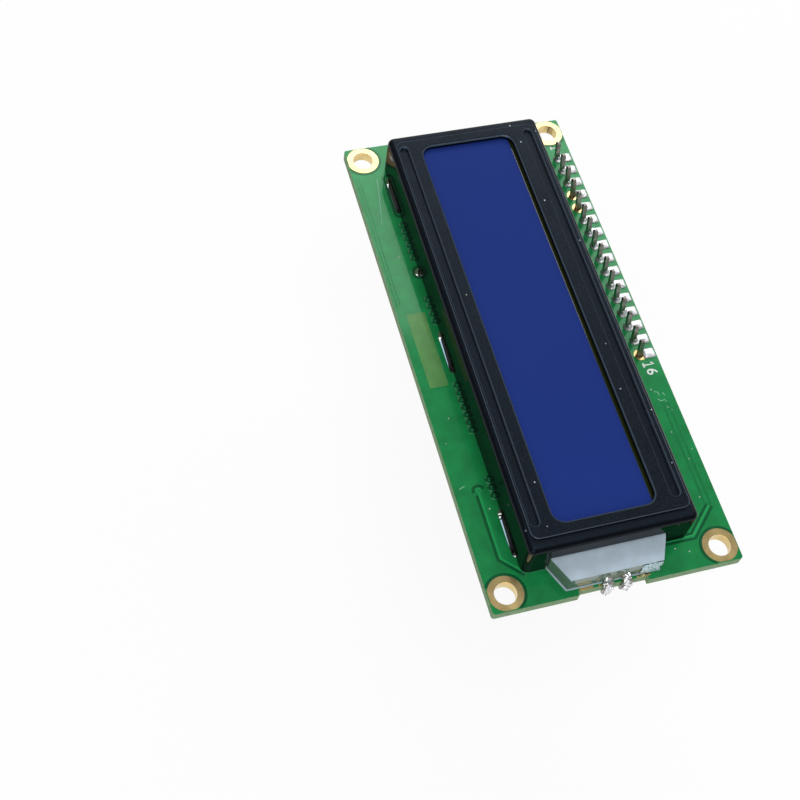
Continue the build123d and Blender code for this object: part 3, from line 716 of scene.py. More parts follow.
def box_route(low_x, high_x, low_y, high_y):
    return [(low_x, low_y), (high_x, low_y), (high_x, high_y), (low_x, high_y)]


def ring_route(centre, radius, sides=24, start_angle=0.0, sweep=360.0):
    """Points round an arc."""
    count = sides if sweep >= 360 else sides + 1
    turns = [radians(start_angle + sweep * i / sides) for i in range(count)]
    return [(centre[0] + radius * cos(t), centre[1] + radius * sin(t)) for t in turns]


def rounded_box(low_x, high_x, low_y, high_y, corner, steps=4):
    """Closed route of a box whose corners are arcs."""
    corners = (
        (high_x - corner, low_y + corner, -90),
        (high_x - corner, high_y - corner, 0),
        (low_x + corner, high_y - corner, 90),
        (low_x + corner, low_y + corner, 180),
    )
    made = []
    for x, y, angle in corners:
        made += ring_route((x, y), corner, steps, angle, 90.0)
    return made


# Places on the boards, in the module's own X and Y

mount_holes = [(x, y) for x in (-37.5, 37.5) for y in (-15.5, 15.5)]
pin_places = [(first_pin_x + pin_pitch * i, pin_row_y) for i in range(pin_count)]
via_row_y = -12.65
far_slot = (-29.8, -12.35)
near_lug = (-14.9, -12.6)
hole_gap_width, hole_gap_radius, hole_gap_sweep = 0.42, 2.72, 212.0

# Rows of vias beside the bezel: first x, how many, and their pitch
via_rows = ((-23.9, 6, 1.27), (-9.8, 4, 1.3), (5.4, 7, 1.25), (20.9, 3, 1.25))
row_vias = [(x + step * i, via_row_y) for x, count, step in via_rows for i in range(count)]
lone_via = (22.2, -14.6)
corner_trace = [(35.35, 7.4), (35.35, 12.43), (31.53, 16.25)]
side_trace = [(22.6, -14.6), (32.55, -14.6), (35.0, -12.15)]


def front_routes():
    """Etched gaps that show beside the bezel."""
    routes = parallel([(35.75, 7.4), (35.75, 12.6), (31.7, 16.65)], 2, 0.8)
    routes.append([(22.9, -15.05), (32.75, -15.05), (35.55, -12.25)])
    routes.append(ring_route(lone_via, 0.74, 14, 100.0, 190.0))
    return routes


def hole_gaps():
    """Etched arcs round the fixing holes, ended before they would cross the board's edge."""
    arcs = []
    for x, y in mount_holes:
        first = degrees(atan2(-y / abs(y), -x / abs(x))) - hole_gap_sweep / 2
        arcs.append(ring_route((x, y), hole_gap_radius, 24, first, hole_gap_sweep))
    return arcs


# Etched gaps on the back: a first route, how many lie beside each other, and their pitch
back_runs = (
    ([(-36.0, -13.7), (21.5, -13.7), (23.6, -11.6), (23.6, -9.0)], 6, -0.55),
    ([(-9.5, -12.9), (-11.5, -11.0), (-11.5, -8.2)], 5, 0.5),
    ([(5.0, -11.6), (5.0, -9.5), (9.3, -5.2)], 9, -0.5),
    ([(20.2, -11.6), (20.2, -5.0), (18.9, -3.4)], 5, -0.55),
    ([(19.9, -1.6), (22.6, -1.6), (24.0, -3.0), (24.0, -8.0)], 3, 0.5),
    ([(19.7, 0.6), (22.9, 0.6), (24.4, 2.1), (24.4, 7.0)], 3, -0.5),
    ([(18.6, 3.4), (21.0, 5.8), (21.0, 8.6), (19.6, 10.0), (16.8, 10.0)], 5, -0.5),
    ([(9.6, 6.3), (9.6, 8.1), (8.4, 9.4), (-6.0, 9.4)], 5, -0.5),
    ([(7.0, 3.0), (-4.4, 3.0)], 8, -0.5),
    ([(-5.0, 1.9), (-2.5, 1.9), (2.0, 6.4), (7.4, 6.4)], 4, 0.5),
    ([(-17.6, 4.8), (-17.6, 8.2), (-19.0, 9.6), (-34.5, 9.6)], 5, -0.5),
    ([(-19.8, 0.0), (-26.8, 0.0)], 4, -0.55),
    ([(-8.2, -8.0), (-8.2, -9.5), (-5.3, -12.4)], 4, -0.5),
    ([(24.9, 15.9), (33.5, 15.9)], 2, -0.6),
    ([(34.0, 10.0), (34.0, 13.5), (32.0, 15.2)], 3, -0.55),
    ([(34.9, -12.4), (34.9, -5.4), (36.9, -3.4), (36.9, 2.6), (35.0, 4.6), (35.0, 9.0)], 1, 0.6),
)

back_vias = [
    *[(-8.8 + 1.3 * i, -12.3) for i in range(4)],
    *[(5.4 + 1.27 * i, -12.4) for i in range(7)],
    *[(20.6 + 1.2 * i, -12.4) for i in range(4)],
    *[(21.9 + 1.1 * (i % 2), -4.9 + 1.3 * i) for i in range(6)],
    *[(-4.6 + 1.2 * i, 7.6) for i in range(6)],
    *[(-18.6, -4.4), (-19.2, -6.8), (-16.9, -8.6), (-6.1, -4.9), (-5.6, -3.1)],
    *[(7.6, -1.4), (6.4, -2.7), (20.6, 9.1), (22.2, 8.0), (17.4, -7.1), (18.6, -6.2)],
    *[(34.6, 6.0), (34.0, -9.0), (30.0, -14.3), (27.9, -14.3), (-34.5, -9.2), (-31.0, -9.6)],
]

# Printed boxes on the back: low x, high x, low y, high y
back_boxes = [
    (26.3, 32.5, -3.9, -1.3),
    (26.3, 32.5, -7.5, -4.8),
    (-24.95, -19.95, -7.35, -4.95),
    (-24.95, -19.95, -4.85, -2.45),
    *[(-33.4, -28.6, -8.0 + 2.45 * i, -5.6 + 2.45 * i) for i in range(5)],
]


def bracket_pair(low_x, high_x, low_y, high_y, open_share=0.34):
    """Two facing brackets of a printed frame, open in the middle of the long sides."""
    middle = (low_x + high_x) / 2
    gap = (high_x - low_x) * open_share / 2
    left = [(middle - gap, low_y), (low_x, low_y), (low_x, high_y), (middle - gap, high_y)]
    right = [(middle + gap, low_y), (high_x, low_y), (high_x, high_y), (middle + gap, high_y)]
    return [left, right]


def one_mark(x, y, high):
    """Strokes of a printed number one with its flag and foot."""
    top, foot, side = y + high / 2, y - high / 2, high * 0.24
    return [[(x - side, top - side), (x, top), (x, foot)], [(x - side, foot), (x + side, foot)]]


def plus_sign(x, y, arm=0.55):
    return [[(x - arm, y), (x + arm, y)], [(x, y - arm), (x, y + arm)]]


def adapter_ink():
    """Open and closed printed lines on the adapter, in its own x and y."""
    boxes = [
        (-1.2, 39.8, -0.85, 1.75),
        *[(x, x + 1.7, 13.5, 16.5) for x in (4.3, 6.65, 9.1)],
        *[(x, x + 4.1, 14.7, 16.9) for x in (17.6, 22.05, 26.5)],
        *[(x, x + 2.25, 8.9, 13.1) for x in (26.4, 28.95, 31.45)],
        (29.5, 31.8, 3.9, 8.3),
        (3.95, 11.55, 3.35, 11.05),
    ]
    closed = [box_route(*box) for box in boxes]
    closed += [rounded_box(27.0, 29.2, 3.8, 8.4, 0.9)]
    closed += [rounded_box(34.05, 36.35, 8.6, 13.4, 1.0)]
    opened = [
        [(15.2, 13.35), (22.9, 13.35), (22.9, 4.0)],
        [(-1.2, 1.75), (-1.2, 13.8), (1.45, 13.8), (1.45, 1.75)],
        [(36.9, 9.85), (39.4, 9.85), (39.4, 1.75)],
        *plus_sign(36.3, 14.5, 0.5),
    ]
    return closed, opened


# Operators, one for each piece or group of like pieces


class MODULE_OT_stage(bpy.types.Operator):
    """Pale floor, soft studio light and the camera at the photograph's view"""

    bl_idname = "display_module.stage"
    bl_label = "Stage"

    camera_place = Vector((94.72, -61.36, 162.43))
    camera_turn = (30.513, -5.314, 74.649)
    sensor_width = 36.0
    floor_size = 3000.0
    floor_glow = 0.9
    mirrored_share = 0.2

    # Name, place in metres, side length in metres and power in watts
    lamps = (
        ("key", (0.14, -0.05, 0.6), 0.42, 2.0),
        ("fill", (0.5, -0.3, 0.3), 0.45, 1.2),
        ("softbox", (-0.45, 0.145, 0.37), 0.4, 1.4),
        ("side", (-0.24, 0.44, 0.3), 0.2, 0.5),
    )

    def execute(self, context):
        look = context.scene.stage_look
        self.camera(context.scene, look.lens)
        self.floor(look.floor_drop)
        for lamp in self.lamps:
            self.lamp(*lamp)
        self.backdrop(context.scene, look.sky)
        context.scene.view_settings.view_transform = "Standard"
        return {"FINISHED"}

    def camera(self, scene, lens):
        start()
        turn = [radians(angle) for angle in self.camera_turn]
        bpy.ops.object.camera_add(location=self.camera_place * MM, rotation=turn)
        camera = bpy.context.object
        camera.name = "camera"
        camera.data.lens = lens
        camera.data.sensor_width = self.sensor_width
        camera.data.clip_start = 1 * MM
        camera.data.clip_end = 10.0
        camera.data.dof.use_dof = False
        scene.camera = camera

    def floor(self, drop):
        """Pale floor that takes the shadow, glows to the camera and is open from below."""
        start()
        height = cad_box[0].z - drop
        bpy.ops.mesh.primitive_plane_add(size=self.floor_size * MM, location=(0, 0, height))
        bpy.ops.object.transform_apply()
        piece = bpy.context.object
        piece.name = "floor"
        made = Finish("studio_floor", paint(246, 246, 246), 0.9, Specular_IOR_Level=0.1)
        made.mottle((paint(244, 244, 244), paint(247, 247, 247)), 4.0)
        ray = made.add("ShaderNodeLightPath").outputs
        seen = made.sums("MAXIMUM", ray["Is Camera Ray"], ray["Is Glossy Ray"])
        seen = made.sums("MAXIMUM", seen, ray["Is Transmission Ray"])
        glow = made.add("ShaderNodeEmission", {"Color": WHITE, "Strength": 1.0})
        share = made.both(seen, self.floor_glow)
        lit = made.add(
            "ShaderNodeMixShader", {0: share, 1: made.shader.outputs[0], 2: glow.outputs[0]}
        )
        under = made.add("ShaderNodeNewGeometry").outputs["Backfacing"]
        clear = made.add("ShaderNodeBsdfTransparent")
        made.show(
            made.add("ShaderNodeMixShader", {0: under, 1: lit.outputs[0], 2: clear.outputs[0]})
        )
        piece.data.materials.append(made.material)

    def lamp(self, name, place, size, power):
        """Square lamp that faces the module."""
        start()
        aim = (-Vector(place)).to_track_quat("-Z", "Y").to_euler()
        bpy.ops.object.light_add(type="AREA", location=place, rotation=aim)
        lamp = bpy.context.object
        lamp.name = name
        lamp.data.shape = "SQUARE"
        lamp.data.size = size
        lamp.data.energy = power

    def backdrop(self, scene, sky):
        """White behind the module, part of which its metal mirrors, and a dim sky for light."""
        world = scene.world or bpy.data.worlds.new("studio")
        scene.world = world
        world.use_nodes = True
        tree = world.node_tree
        dim = tree.nodes["Background"]
        dim.inputs["Color"].default_value = WHITE
        dim.inputs["Strength"].default_value = sky
        white = new_node(tree, "ShaderNodeBackground", {"Color": WHITE, "Strength": 1.0})
        ray = new_node(tree, "ShaderNodeLightPath").outputs
        seen = new_node(
            tree,
            "ShaderNodeMath",
            {0: ray["Is Camera Ray"], 1: ray["Is Transmission Ray"]},
            operation="MAXIMUM",
        )
        share = new_node(
            tree,
            "ShaderNodeMath",
            {0: ray["Is Glossy Ray"], 1: self.mirrored_share, 2: seen.outputs[0]},
            operation="MULTIPLY_ADD",
            use_clamp=True,
        )
        shown = new_node(
            tree,
            "ShaderNodeMixShader",
            {0: share.outputs[0], 1: dim.outputs[0], 2: white.outputs[0]},
        )
        tree.links.new(shown.outputs[0], tree.nodes["World Output"].inputs["Surface"])


class MODULE_OT_solids(bpy.types.Operator):
    """Gives every carried-over solid its finish"""

    bl_idname = "display_module.solids"
    bl_label = "Finishes of the solids"

    def execute(self, context):
        mix_finishes(context.scene.board_look, context.scene.module_look)
        for finish, names in SOLID_FINISHES.items():
            for name in names:
                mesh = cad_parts[name].data
                mesh.materials.clear()
                mesh.materials.append(finishes[finish])
        return {"FINISHED"}


class MODULE_OT_front_copper(bpy.types.Operator):
    """Etched gaps and vias on the board's front"""

    bl_idname = "display_module.front_copper"
    bl_label = "Front copper"

    stripe_width, faint_width, trace_width, outline_width = 0.2, 0.4, 0.34, 0.5
    slot_length, slot_width, slot_corner = 8.3, 1.9, 0.7
    lug_radius = 0.98
    band_y, band_width = -12.4, 0.9

    # Radii of the clearing round a via: foot, shoulder and inside
    clearing = (0.66, 0.62, 0.3)

    def execute(self, context):
        look = context.scene.board_look
        width, height = look.wide_gap / MM, look.line_height / MM
        on_board(lines(front_routes(), width, height), "front_gaps")
        stripes = parallel([(-34.0, -17.5), (-9.4, -17.5)], 2, 0.5)
        on_board(lines(stripes, self.stripe_width, height), "front_stripes", "faint")
        along = parallel([(31.4, 16.65), (14.5, 16.65)], 2, 0.8)
        on_board(lines(along, self.faint_width, height), "front_faint_gaps", "faint")
        traces = lines([corner_trace, side_trace], self.trace_width, height * 1.5)
        on_board(traces, "front_traces", "copper_light")
        on_board(lines(hole_gaps(), hole_gap_width, height), "front_hole_gaps")
        self.outlines(height)
        self.vias(height)
        return {"FINISHED"}

    def outlines(self, height):
        """Clearings round the vias, and outlines of the far slot and of the lug's hole."""
        foot, shoulder, inner = self.clearing
        disc = turned([(foot, 0), (shoulder, height), (inner, height)], 20)
        on_board(copies(disc, at(row_vias)), "front_via_gaps")
        bands = []
        for x, count, step in via_rows:
            bands.append([(x, self.band_y), (x + step * (count - 1), self.band_y)])
        on_board(lines(bands, self.band_width, height), "front_via_bands")
        x, y = far_slot
        half_x, half_y = self.slot_length / 2, self.slot_width / 2
        slot = rounded_box(x - half_x, x + half_x, y - half_y, y + half_y, self.slot_corner)
        outlines = [slot, ring_route(near_lug, self.lug_radius, 20)]
        on_board(lines(outlines, self.outline_width, height, True), "front_slot_gaps")

    def vias(self, height):
        row_pads = copies(band(0.2, 0.1, 0.02, 16), at(row_vias, height=height))
        lone_pad = copies(band(0.36, 0.14, 0.02, 16), at([lone_via], height=height))
        on_board(join([row_pads, lone_pad]), "front_via_pads", "copper_light")
        vias = copies(via_shape(), at([*row_vias, lone_via], height=height))
        on_board(vias, "front_vias")


def via_shape():
    """Lacquered via: a low collar with a dimple in it."""
    return turned([(0.17, -0.01), (0.17, 0.015), (0.13, 0.03), (0.08, 0.01), (0.05, 0.004)], 10)


class MODULE_OT_back_copper(bpy.types.Operator):
    """Etched gaps and vias on the board's back"""

    bl_idname = "display_module.back_copper"
    bl_label = "Back copper"

    ring_radius = 0.5

    def execute(self, context):
        look = context.scene.board_look
        width, height = look.fine_gap / MM, look.line_height / MM
        routes = [seen_from_behind(route) for run in back_runs for route in parallel(*run)]
        on_board(lines(routes, width, height), "back_gaps", side=BACK)
        vias = seen_from_behind(back_vias)
        rings = [ring_route(via, self.ring_radius, 12) for via in vias]
        on_board(lines(rings, width, height, True), "back_rings", side=BACK)
        on_board(lines(hole_gaps(), hole_gap_width, height), "back_hole_gaps", side=BACK)
        on_board(copies(via_shape(), at(vias)), "back_vias", side=BACK)
        return {"FINISHED"}


class MODULE_OT_board_ink(bpy.types.Operator):
    """White print on both faces of the main board"""

    bl_idname = "display_module.board_ink"
    bl_label = "Board print"

    thickness = 0.03
    scuff_width, scuff_height = 0.12, 0.01
    scuffs = [
        [(12.5, 15.3), (12.7, 15.8), (13.3, 15.9)],
        [(12.9, 16.5), (13.4, 16.7)],
        [(13.8, 15.4), (14.2, 15.8), (14.1, 16.4), (14.8, 16.7)],
        [(14.6, 15.9), (15.1, 15.7)],
        [(15.2, 16.3), (16.0, 16.9)],
        [(21.15, -16.3), (21.45, -17.1)],
        [(-33.5, -14.2), (-29.5, -14.9), (-24.6, -15.8)],
    ]

    def execute(self, context):
        width = context.scene.board_look.ink_width / MM
        self.back_print(width)
        six = move(words("6", 2.3, self.thickness, 0.03), 9.2, 16.2)
        ones = one_mark(-34.3, 15.75, 1.2) + one_mark(7.95, 16.2, 1.6)
        on_board(join([six, lines(ones, width, self.thickness)]), "front_print", "ink")
        scuffs = lines(self.scuffs, self.scuff_width, self.scuff_height)
        on_board(scuffs, "front_scuffs", "scuff")
        on_board(move(plate(12.9, 2.8, 0.012, 0.15), -1.35, -15.2), "bare_window", "bare")
        return {"FINISHED"}

    def back_print(self, width):
        notch = ring_route((29.15, 4.7), 0.7, 6, 0.0, -180.0)
        chip = [(27.8, -0.8), (30.5, -0.8), (30.5, 4.7), *notch, (27.8, 4.7)]
        boxes = [seen_from_behind(box_route(*box)) for box in back_boxes]
        boxes.append(seen_from_behind(chip))
        boxes += [ring_route((x, -5.65), 1.5, 28) for x in (27.0, 29.2, 31.5)]
        frames = lines(boxes, width, self.thickness, True)
        opened = bracket_pair(16.6, 22.8, 11.45, 14.2)
        opened += plus_sign(24.8, -2.8) + plus_sign(24.8, -6.4)
        marks = lines([seen_from_behind(route) for route in opened], width, self.thickness)
        upright = Matrix.Rotation(pi / 2, 4, "Z")
        last = move(words("16", 2.1, self.thickness, 0.02), 8.6, -17.0, turn=upright)
        on_board(join([frames, marks, last]), "back_print", "ink", BACK)


class MODULE_OT_gold(bpy.types.Operator):
    """Plated sleeves in the fixing holes and the bare gold pads"""

    bl_idname = "display_module.gold"
    bl_label = "Gold pads and sleeves"

    thickness = 0.04
    sleeve_outer, sleeve_inner, sleeve_past_board = 1.62, 1.57, 0.01
    disc_radius, half_slit = 1.15, 0.12

    # Bare fields on the back: length, width and places
    back_fields = (
        (2.0, 0.7, [(x, y) for x in (26.3, 32.05) for y in (0.0, 1.25, 2.5, 3.8)]),
        (1.9, 2.1, [(x, y) for x in (27.8, 31.4) for y in (-2.6, -6.1)]),
        (1.6, 1.5, [(-23.5, -6.15), (-21.4, -6.15)]),
        (2.0, 2.0, [(38.4, 3.6), (38.4, -4.5)]),
    )

    def execute(self, context):
        foot = board_low.z - self.sleeve_past_board
        height = board_high.z + self.sleeve_past_board - foot
        sleeve = band(self.sleeve_outer, self.sleeve_inner, height, 40)
        sleeve = copies(sleeve, at(mount_holes, height=foot))
        settle(sleeve, "hole_sleeves", "gold")
        pads = []
        for length, width, spots in self.back_fields:
            pad = plate(length, width, self.thickness, min(length, width) * 0.12)
            pads.append(copies(pad, at(seen_from_behind(spots))))
        pads.append(self.half_discs(seen_from_behind([(27.0, 5.65), (29.2, 5.65)])))
        pads.append(copies(band(1.6, 1.2, self.thickness), at([(31.5, -5.65)])))
        pads.append(copies(band(0.85, 0.4, self.thickness), at([(36.0, -0.9), (36.0, 1.8)])))
        settle(join(pads), "back_pads", "gold", BACK)
        edge_pads = plate(0.4, 2.0, self.thickness, 0.08)
        edge_pads = copies(edge_pads, at([(39.28, -4.7), (39.28, 3.5)]))
        small_pads = plate(0.35, 0.5, self.thickness, 0.08)
        small_pads = copies(small_pads, at([(39.3, -2.75), (39.3, 1.4)]))
        settle(join([edge_pads, small_pads]), "front_edge_pads", "gold")
        return {"FINISHED"}

    def half_discs(self, spots):
        """Pairs of half-round pads with a slit between them."""
        start()
        bpy.ops.mesh.primitive_circle_add(vertices=24, radius=self.disc_radius, fill_type="NGON")
        edit()
        slit_side = (0, self.half_slit, 0)
        bpy.ops.mesh.bisect(plane_co=slit_side, plane_no=(0, 1, 0), clear_inner=True)
        bpy.ops.mesh.select_all(action="SELECT")
        bpy.ops.mesh.extrude_region_move(TRANSFORM_OT_translate={"value": (0, 0, self.thickness)})
        half = close_up()
        return copies(half, at(spots) + at(spots, 180))


class MODULE_OT_joints(bpy.types.Operator):
    """Solder fillets of the pin row, on both boards"""

    bl_idname = "display_module.joints"
    bl_label = "Pin row solder"

    pad_width = 1.7
    pad_end = 2.3
    pad_start, bare_pad_start = -0.4, 0.45
    bare_pins = (3, 4, 15)

    # Width and height of each step from a pad's edge to its crown
    pad_steps = ((0.06, 0.1), (0.2, 0.14), (0.25, 0.06))

    # Radius and height up a joint's side
    front_profile = ((0.8, 0.02), (0.76, 0.14), (0.6, 0.3), (0.5, 0.55), (0.45, 0.8), (0.32, 0.88))
    adapter_profile = (
        (0.95, 0.0), (0.92, 0.12), (0.7, 0.38), (0.52, 0.75), (0.44, 1.05), (0.28, 1.15)
    )

    def execute(self, context):
        self.front_joints()
        self.adapter_joints()
        return {"FINISHED"}

    def front_joints(self):
        luck = Random(7)
        made = []
        for i, (x, y) in enumerate(pin_places):
            bare = i in self.bare_pins
            near = self.bare_pad_start if bare else self.pad_start
            length = self.pad_end - near
            made.append(move(self.wedge(length), x, y + near + length / 2))
            if bare:
                continue
            size = 0.92 + 0.16 * luck.random()
            foot, neck = self.front_profile[:4], self.front_profile[4:]
            rings = [(radius * size, height) for radius, height in foot]
            rings += [(radius * size, height * size) for radius, height in neck]
            lean = Matrix.Rotation(radians(6 * (luck.random() - 0.5)), 4, "X")
            made.append(move(turned(rings, 20), x, y, turn=lean))
        piece = crumple(join(made), 0.9, 0.12)
        settle(piece, "front_joints", "solder", smooth=60)
        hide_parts("front_solder")
        spots = [pin_places[i] for i in self.bare_pins]
        rings = copies(band(0.95, 0.5, 0.04, 24), at(spots))
        settle(rings, "bare_pin_rings", "gold")

    def wedge(self, length):
        """Low rounded solder on one pad."""
        start()
        bpy.ops.mesh.primitive_plane_add(size=1)
        bpy.context.object.scale = (self.pad_width, length, 1)
        bpy.ops.object.transform_apply()
        edit()
        bpy.ops.mesh.bevel(offset=0.25, segments=2, affect="VERTICES")
        bpy.ops.mesh.select_all(action="SELECT")
        bpy.ops.mesh.extrude_region_move(TRANSFORM_OT_translate={"value": (0, 0, 0.08)})
        for thickness, depth in self.pad_steps:
            bpy.ops.mesh.inset(thickness=thickness, depth=depth)
        return soften(close_up())

    def adapter_joints(self):
        luck = Random(11)
        made = []
        for i in range(pin_count):
            size = 0.94 + 0.14 * luck.random()
            rings = [(radius * size, height) for radius, height in self.adapter_profile]
            made.append(move(turned(rings, 14), pin_pitch * i, 0))
        piece = settle(join(made), "adapter_joints", "solder", ADAPTER_FACE, smooth=50)
        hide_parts("adapter_solder")


class MODULE_OT_lead_solder(bpy.types.Operator):
    """Solder lumps on the light source's leads at the board's edge"""

    bl_idname = "display_module.lead_solder"
    bl_label = "Lead solder"

    leads = (-1.75, 1.0)
    voxel = 0.07

    # Lumps from the guide's tip to the board's back: place beside the lead, and radii
    lumps = [
        (38.95, 0.05, 0.85, 0.42, 0.6, 0.4),
        (39.4, -0.1, 0.6, 0.62, 0.62, 0.5),
        (39.8, 0.1, 0.05, 0.42, 0.66, 0.6),
        (39.98, 0.0, -0.8, 0.3, 0.5, 0.75),
        (39.5, 0.05, -1.72, 0.75, 0.68, 0.3),
    ]

    def execute(self, context):
        made = []
        for lead in self.leads:
            for x, y, z, *radii in self.lumps:
                start()
                bpy.ops.mesh.primitive_ico_sphere_add(subdivisions=3, radius=1)
                turn = Matrix.Rotation(radians(25 * sin(9 * x + 5 * lead)), 4, "Z")
                squash = Matrix.Diagonal((*radii, 1))
                made.append(move(context.object, x, lead + y, z, turn @ squash))
        piece = crumple(flow(join(made), self.voxel), 0.4, 0.5)
        settle(piece, "lead_solder", "bright_solder", smooth=80)
        return {"FINISHED"}


class MODULE_OT_guide_foil(bpy.types.Operator):
    """Crumpled scrap of clear foil on the guide's tip"""

    bl_idname = "display_module.guide_foil"
    bl_label = "Foil on the guide"

    length, width, thickness = 2.5, 2.8, 0.06
    middle = (39.02, 4.35, 1.75)
    fold_size, fold_depth = 0.55, 0.7

    def execute(self, context):
        start()
        bpy.ops.mesh.primitive_grid_add(x_subdivisions=26, y_subdivisions=30, size=1)
        foil = context.object
        foil.scale = (self.length, self.width, 1)
        foil.rotation_euler = (0, radians(90), 0)
        foil.location = self.middle
        bpy.ops.object.transform_apply()
        crumple(foil, self.fold_size, self.fold_depth)
        shaped(foil, "SOLIDIFY", thickness=self.thickness)
        settle(foil, "guide_foil", "foil", smooth=20)
        return {"FINISHED"}


class MODULE_OT_adapter_print(bpy.types.Operator):
    """White print and bare pads on the adapter"""

    bl_idname = "display_module.adapter_print"
    bl_label = "Adapter print and pads"

    thickness = 0.025
    pad_thickness = 0.04
    address_x = (5.15, 7.5, 9.95)
    relief_width, relief_height = 0.3, 0.02

    def execute(self, context):
        closed, opened = adapter_ink()
        width = 0.8 * context.scene.board_look.ink_width / MM
        made = [lines(closed, width, self.thickness, True), lines(opened, width, self.thickness)]
        dots = turned([(0.42, 0), (0.42, self.thickness), (0.36, self.thickness * 1.4)], 20)
        made.append(copies(dots, at([(-0.27, 16.4), (38.2, 16.2), (29.2, 3.1)])))
        settle(join(made), "adapter_print", "ink", ADAPTER_FACE)
        pad = band(0.6, 0.28, self.pad_thickness, 20)
        pads = copies(pad, at([(x, 15.7) for x in self.address_x]))
        square = plate(1.15, 1.1, self.pad_thickness, 0.1)
        squares = copies(square, at([(x, 14.15) for x in self.address_x]))
        settle(join([pads, squares]), "adapter_pads", "solder", ADAPTER_FACE)
        relief = parallel([(12.0, 2.6), (12.0, 12.5), (16.0, 14.0)], 2, 0.9)
        relief += parallel([(24.2, 13.9), (26.0, 2.9), (33.0, 2.9)], 3, -0.6)
        relief += parallel([(2.6, 12.2), (3.4, 13.0), (11.5, 13.0)], 2, 0.7)
        relief = lines(relief, self.relief_width, self.relief_height)
        settle(relief, "adapter_traces", "adapter_line", ADAPTER_FACE)
        return {"FINISHED"}


class MODULE_OT_chip_toes(bpy.types.Operator):
    """Bright solder in front of the expander chip's leads"""

    bl_idname = "display_module.chip_toes"
    bl_label = "Chip solder"

    lead_pitch, lead_count = 1.27, 8
    first_y = 3.7
    toe_width = 0.62

    def execute(self, context):
        rows = []
        for x, length in ((13.1, 1.5), (25.0, 1.9)):
            toe = plate(length, self.toe_width, 0.05, 0.25, 0.2, 4)
            spots = [(x, self.first_y + self.lead_pitch * i) for i in range(self.lead_count)]
            rows.append(copies(toe, at(spots)))
        settle(join(rows), "chip_toes", "solder", ADAPTER_FACE, smooth=60)
        return {"FINISHED"}


class MODULE_OT_trimmer_marks(bpy.types.Operator):
    """Raised tick marks round the trimmer's rotor"""

    bl_idname = "display_module.trimmer_marks"
    bl_label = "Trimmer marks"

    centre = (7.4, 6.9)
    body_height = 4.5
    inner, outer = 1.95, 2.75
    tick_width, tick_height, tick_corner = 0.16, 0.07, 0.06
    rim_outer, rim_inner, rim_height = 1.72, 1.52, 0.06
    count = 16

    def execute(self, context):
        length = self.outer - self.inner
        tick = plate(length, self.tick_width, self.tick_height, self.tick_corner)
        reach_out = Matrix.Translation(((self.outer + self.inner) / 2, 0, 0))
        middle = Matrix.Translation((*self.centre, self.body_height))
        turns = [Matrix.Rotation(2 * pi * i / self.count, 4, "Z") for i in range(self.count)]
        ticks = copies(tick, [middle @ turn @ reach_out for turn in turns])
        rim = band(self.rim_outer, self.rim_inner, self.rim_height)
        move(rim, *self.centre, self.body_height)
        settle(join([ticks, rim]), "trimmer_marks", "trimmer", ADAPTER_FACE)
        return {"FINISHED"}


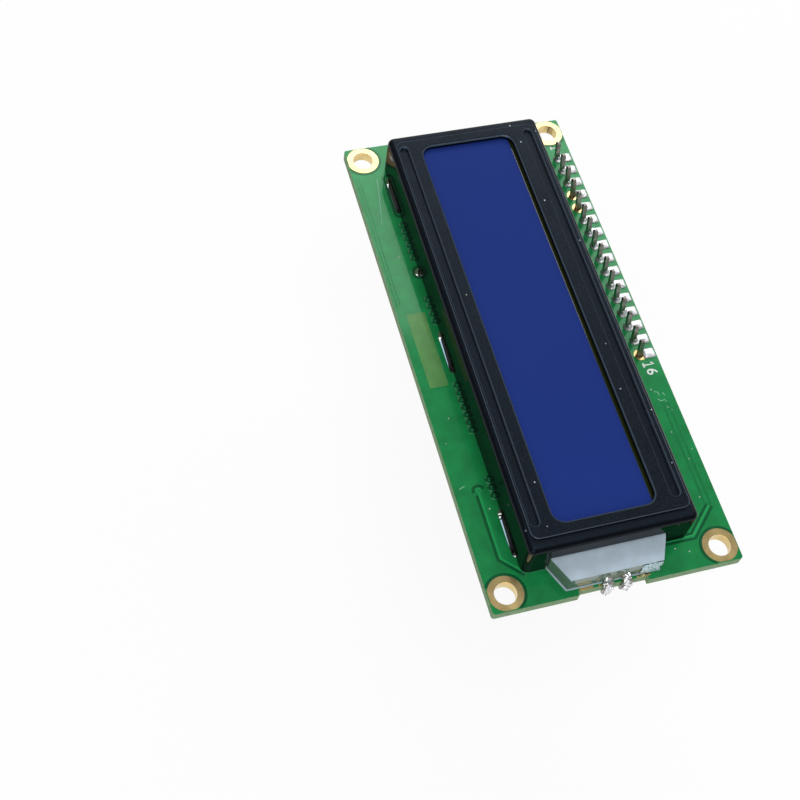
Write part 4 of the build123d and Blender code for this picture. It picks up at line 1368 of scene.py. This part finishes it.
class MODULE_OT_dust(bpy.types.Operator):
    """Specks of dust on the bezel's face and on the board"""

    bl_idname = "display_module.dust"
    bl_label = "Dust"

    bezel_spots = [
        (-34.4, 6.9), (-30.9, 7.6), (-19.2, 7.6), (32.3, -9.3), (25.8, -8.9), (14.6, 7.5),
        (18.7, 10.6), (27.1, 10.4), (7.1, 8.0), (-11.0, 10.4), (-32.6, 10.6), (-5.0, -9.1),
    ]
    board_spots = [
        (-26.7, -16.0), (14.2, -16.9), (25.2, -13.9), (24.0, 16.3), (30.0, 15.5), (37.4, 11.0),
        (19.4, 15.4), (22.6, 17.3), (12.1, 15.0), (36.6, 9.2), (10.4, -15.4), (-18.2, -14.9),
    ]

    smallest, spread = 0.07, 0.07

    def execute(self, context):
        luck = Random(23)
        made = []
        for spots, height in ((self.bezel_spots, bezel_top), (self.board_spots, board_high.z)):
            for x, y in spots:
                size = self.smallest + self.spread * luck.random()
                rings = [(size, -0.01), (size * 0.9, size * 0.3), (size * 0.4, size * 0.5)]
                made.append(move(turned(rings, 8), x, y, height))
        on_board(join(made), "dust_specks", "dust")
        return {"FINISHED"}


class MODULE_OT_lamp_lens(bpy.types.Operator):
    """Clear dome on the power lamp"""

    bl_idname = "display_module.lamp_lens"
    bl_label = "Power lamp lens"

    def execute(self, context):
        lens = move(plate(1.15, 1.2, 0.1, 0.3, 0.35, 4), 35.2, 11.2, 0.78)
        settle(lens, "power_lamp_lens", "lamp", ADAPTER_FACE, smooth=60)
        return {"FINISHED"}


STEPS = (
    MODULE_OT_stage,
    MODULE_OT_solids,
    MODULE_OT_front_copper,
    MODULE_OT_back_copper,
    MODULE_OT_board_ink,
    MODULE_OT_gold,
    MODULE_OT_joints,
    MODULE_OT_lead_solder,
    MODULE_OT_guide_foil,
    MODULE_OT_dust,
    MODULE_OT_adapter_print,
    MODULE_OT_chip_toes,
    MODULE_OT_trimmer_marks,
    MODULE_OT_lamp_lens,
)


class MODULE_PT_panel(bpy.types.Panel):
    """Steps and settings of the display module"""

    bl_idname = "MODULE_PT_panel"
    bl_label = "Display module"
    bl_space_type = "VIEW_3D"
    bl_region_type = "UI"
    bl_category = "Display"

    def draw(self, context):
        scene = context.scene
        for look in (scene.board_look, scene.module_look, scene.stage_look):
            box = self.layout.box()
            for name in look.__annotations__:
                box.prop(look, name)
        for step in STEPS:
            self.layout.operator(step.bl_idname)


LOOKS = {"board_look": BoardLook, "module_look": ModuleLook, "stage_look": StageLook}


def register():
    for kind in (*LOOKS.values(), *STEPS, MODULE_PT_panel):
        bpy.utils.register_class(kind)
    for name, kind in LOOKS.items():
        setattr(bpy.types.Scene, name, bpy.props.PointerProperty(type=kind))


def unregister():
    for name in LOOKS:
        delattr(bpy.types.Scene, name)
    for kind in reversed((*LOOKS.values(), *STEPS, MODULE_PT_panel)):
        bpy.utils.unregister_class(kind)


def main():
    register()
    for step in STEPS:
        getattr(bpy.ops.display_module, step.bl_idname.split(".")[1])()


if __name__ == "__main__":
    main()
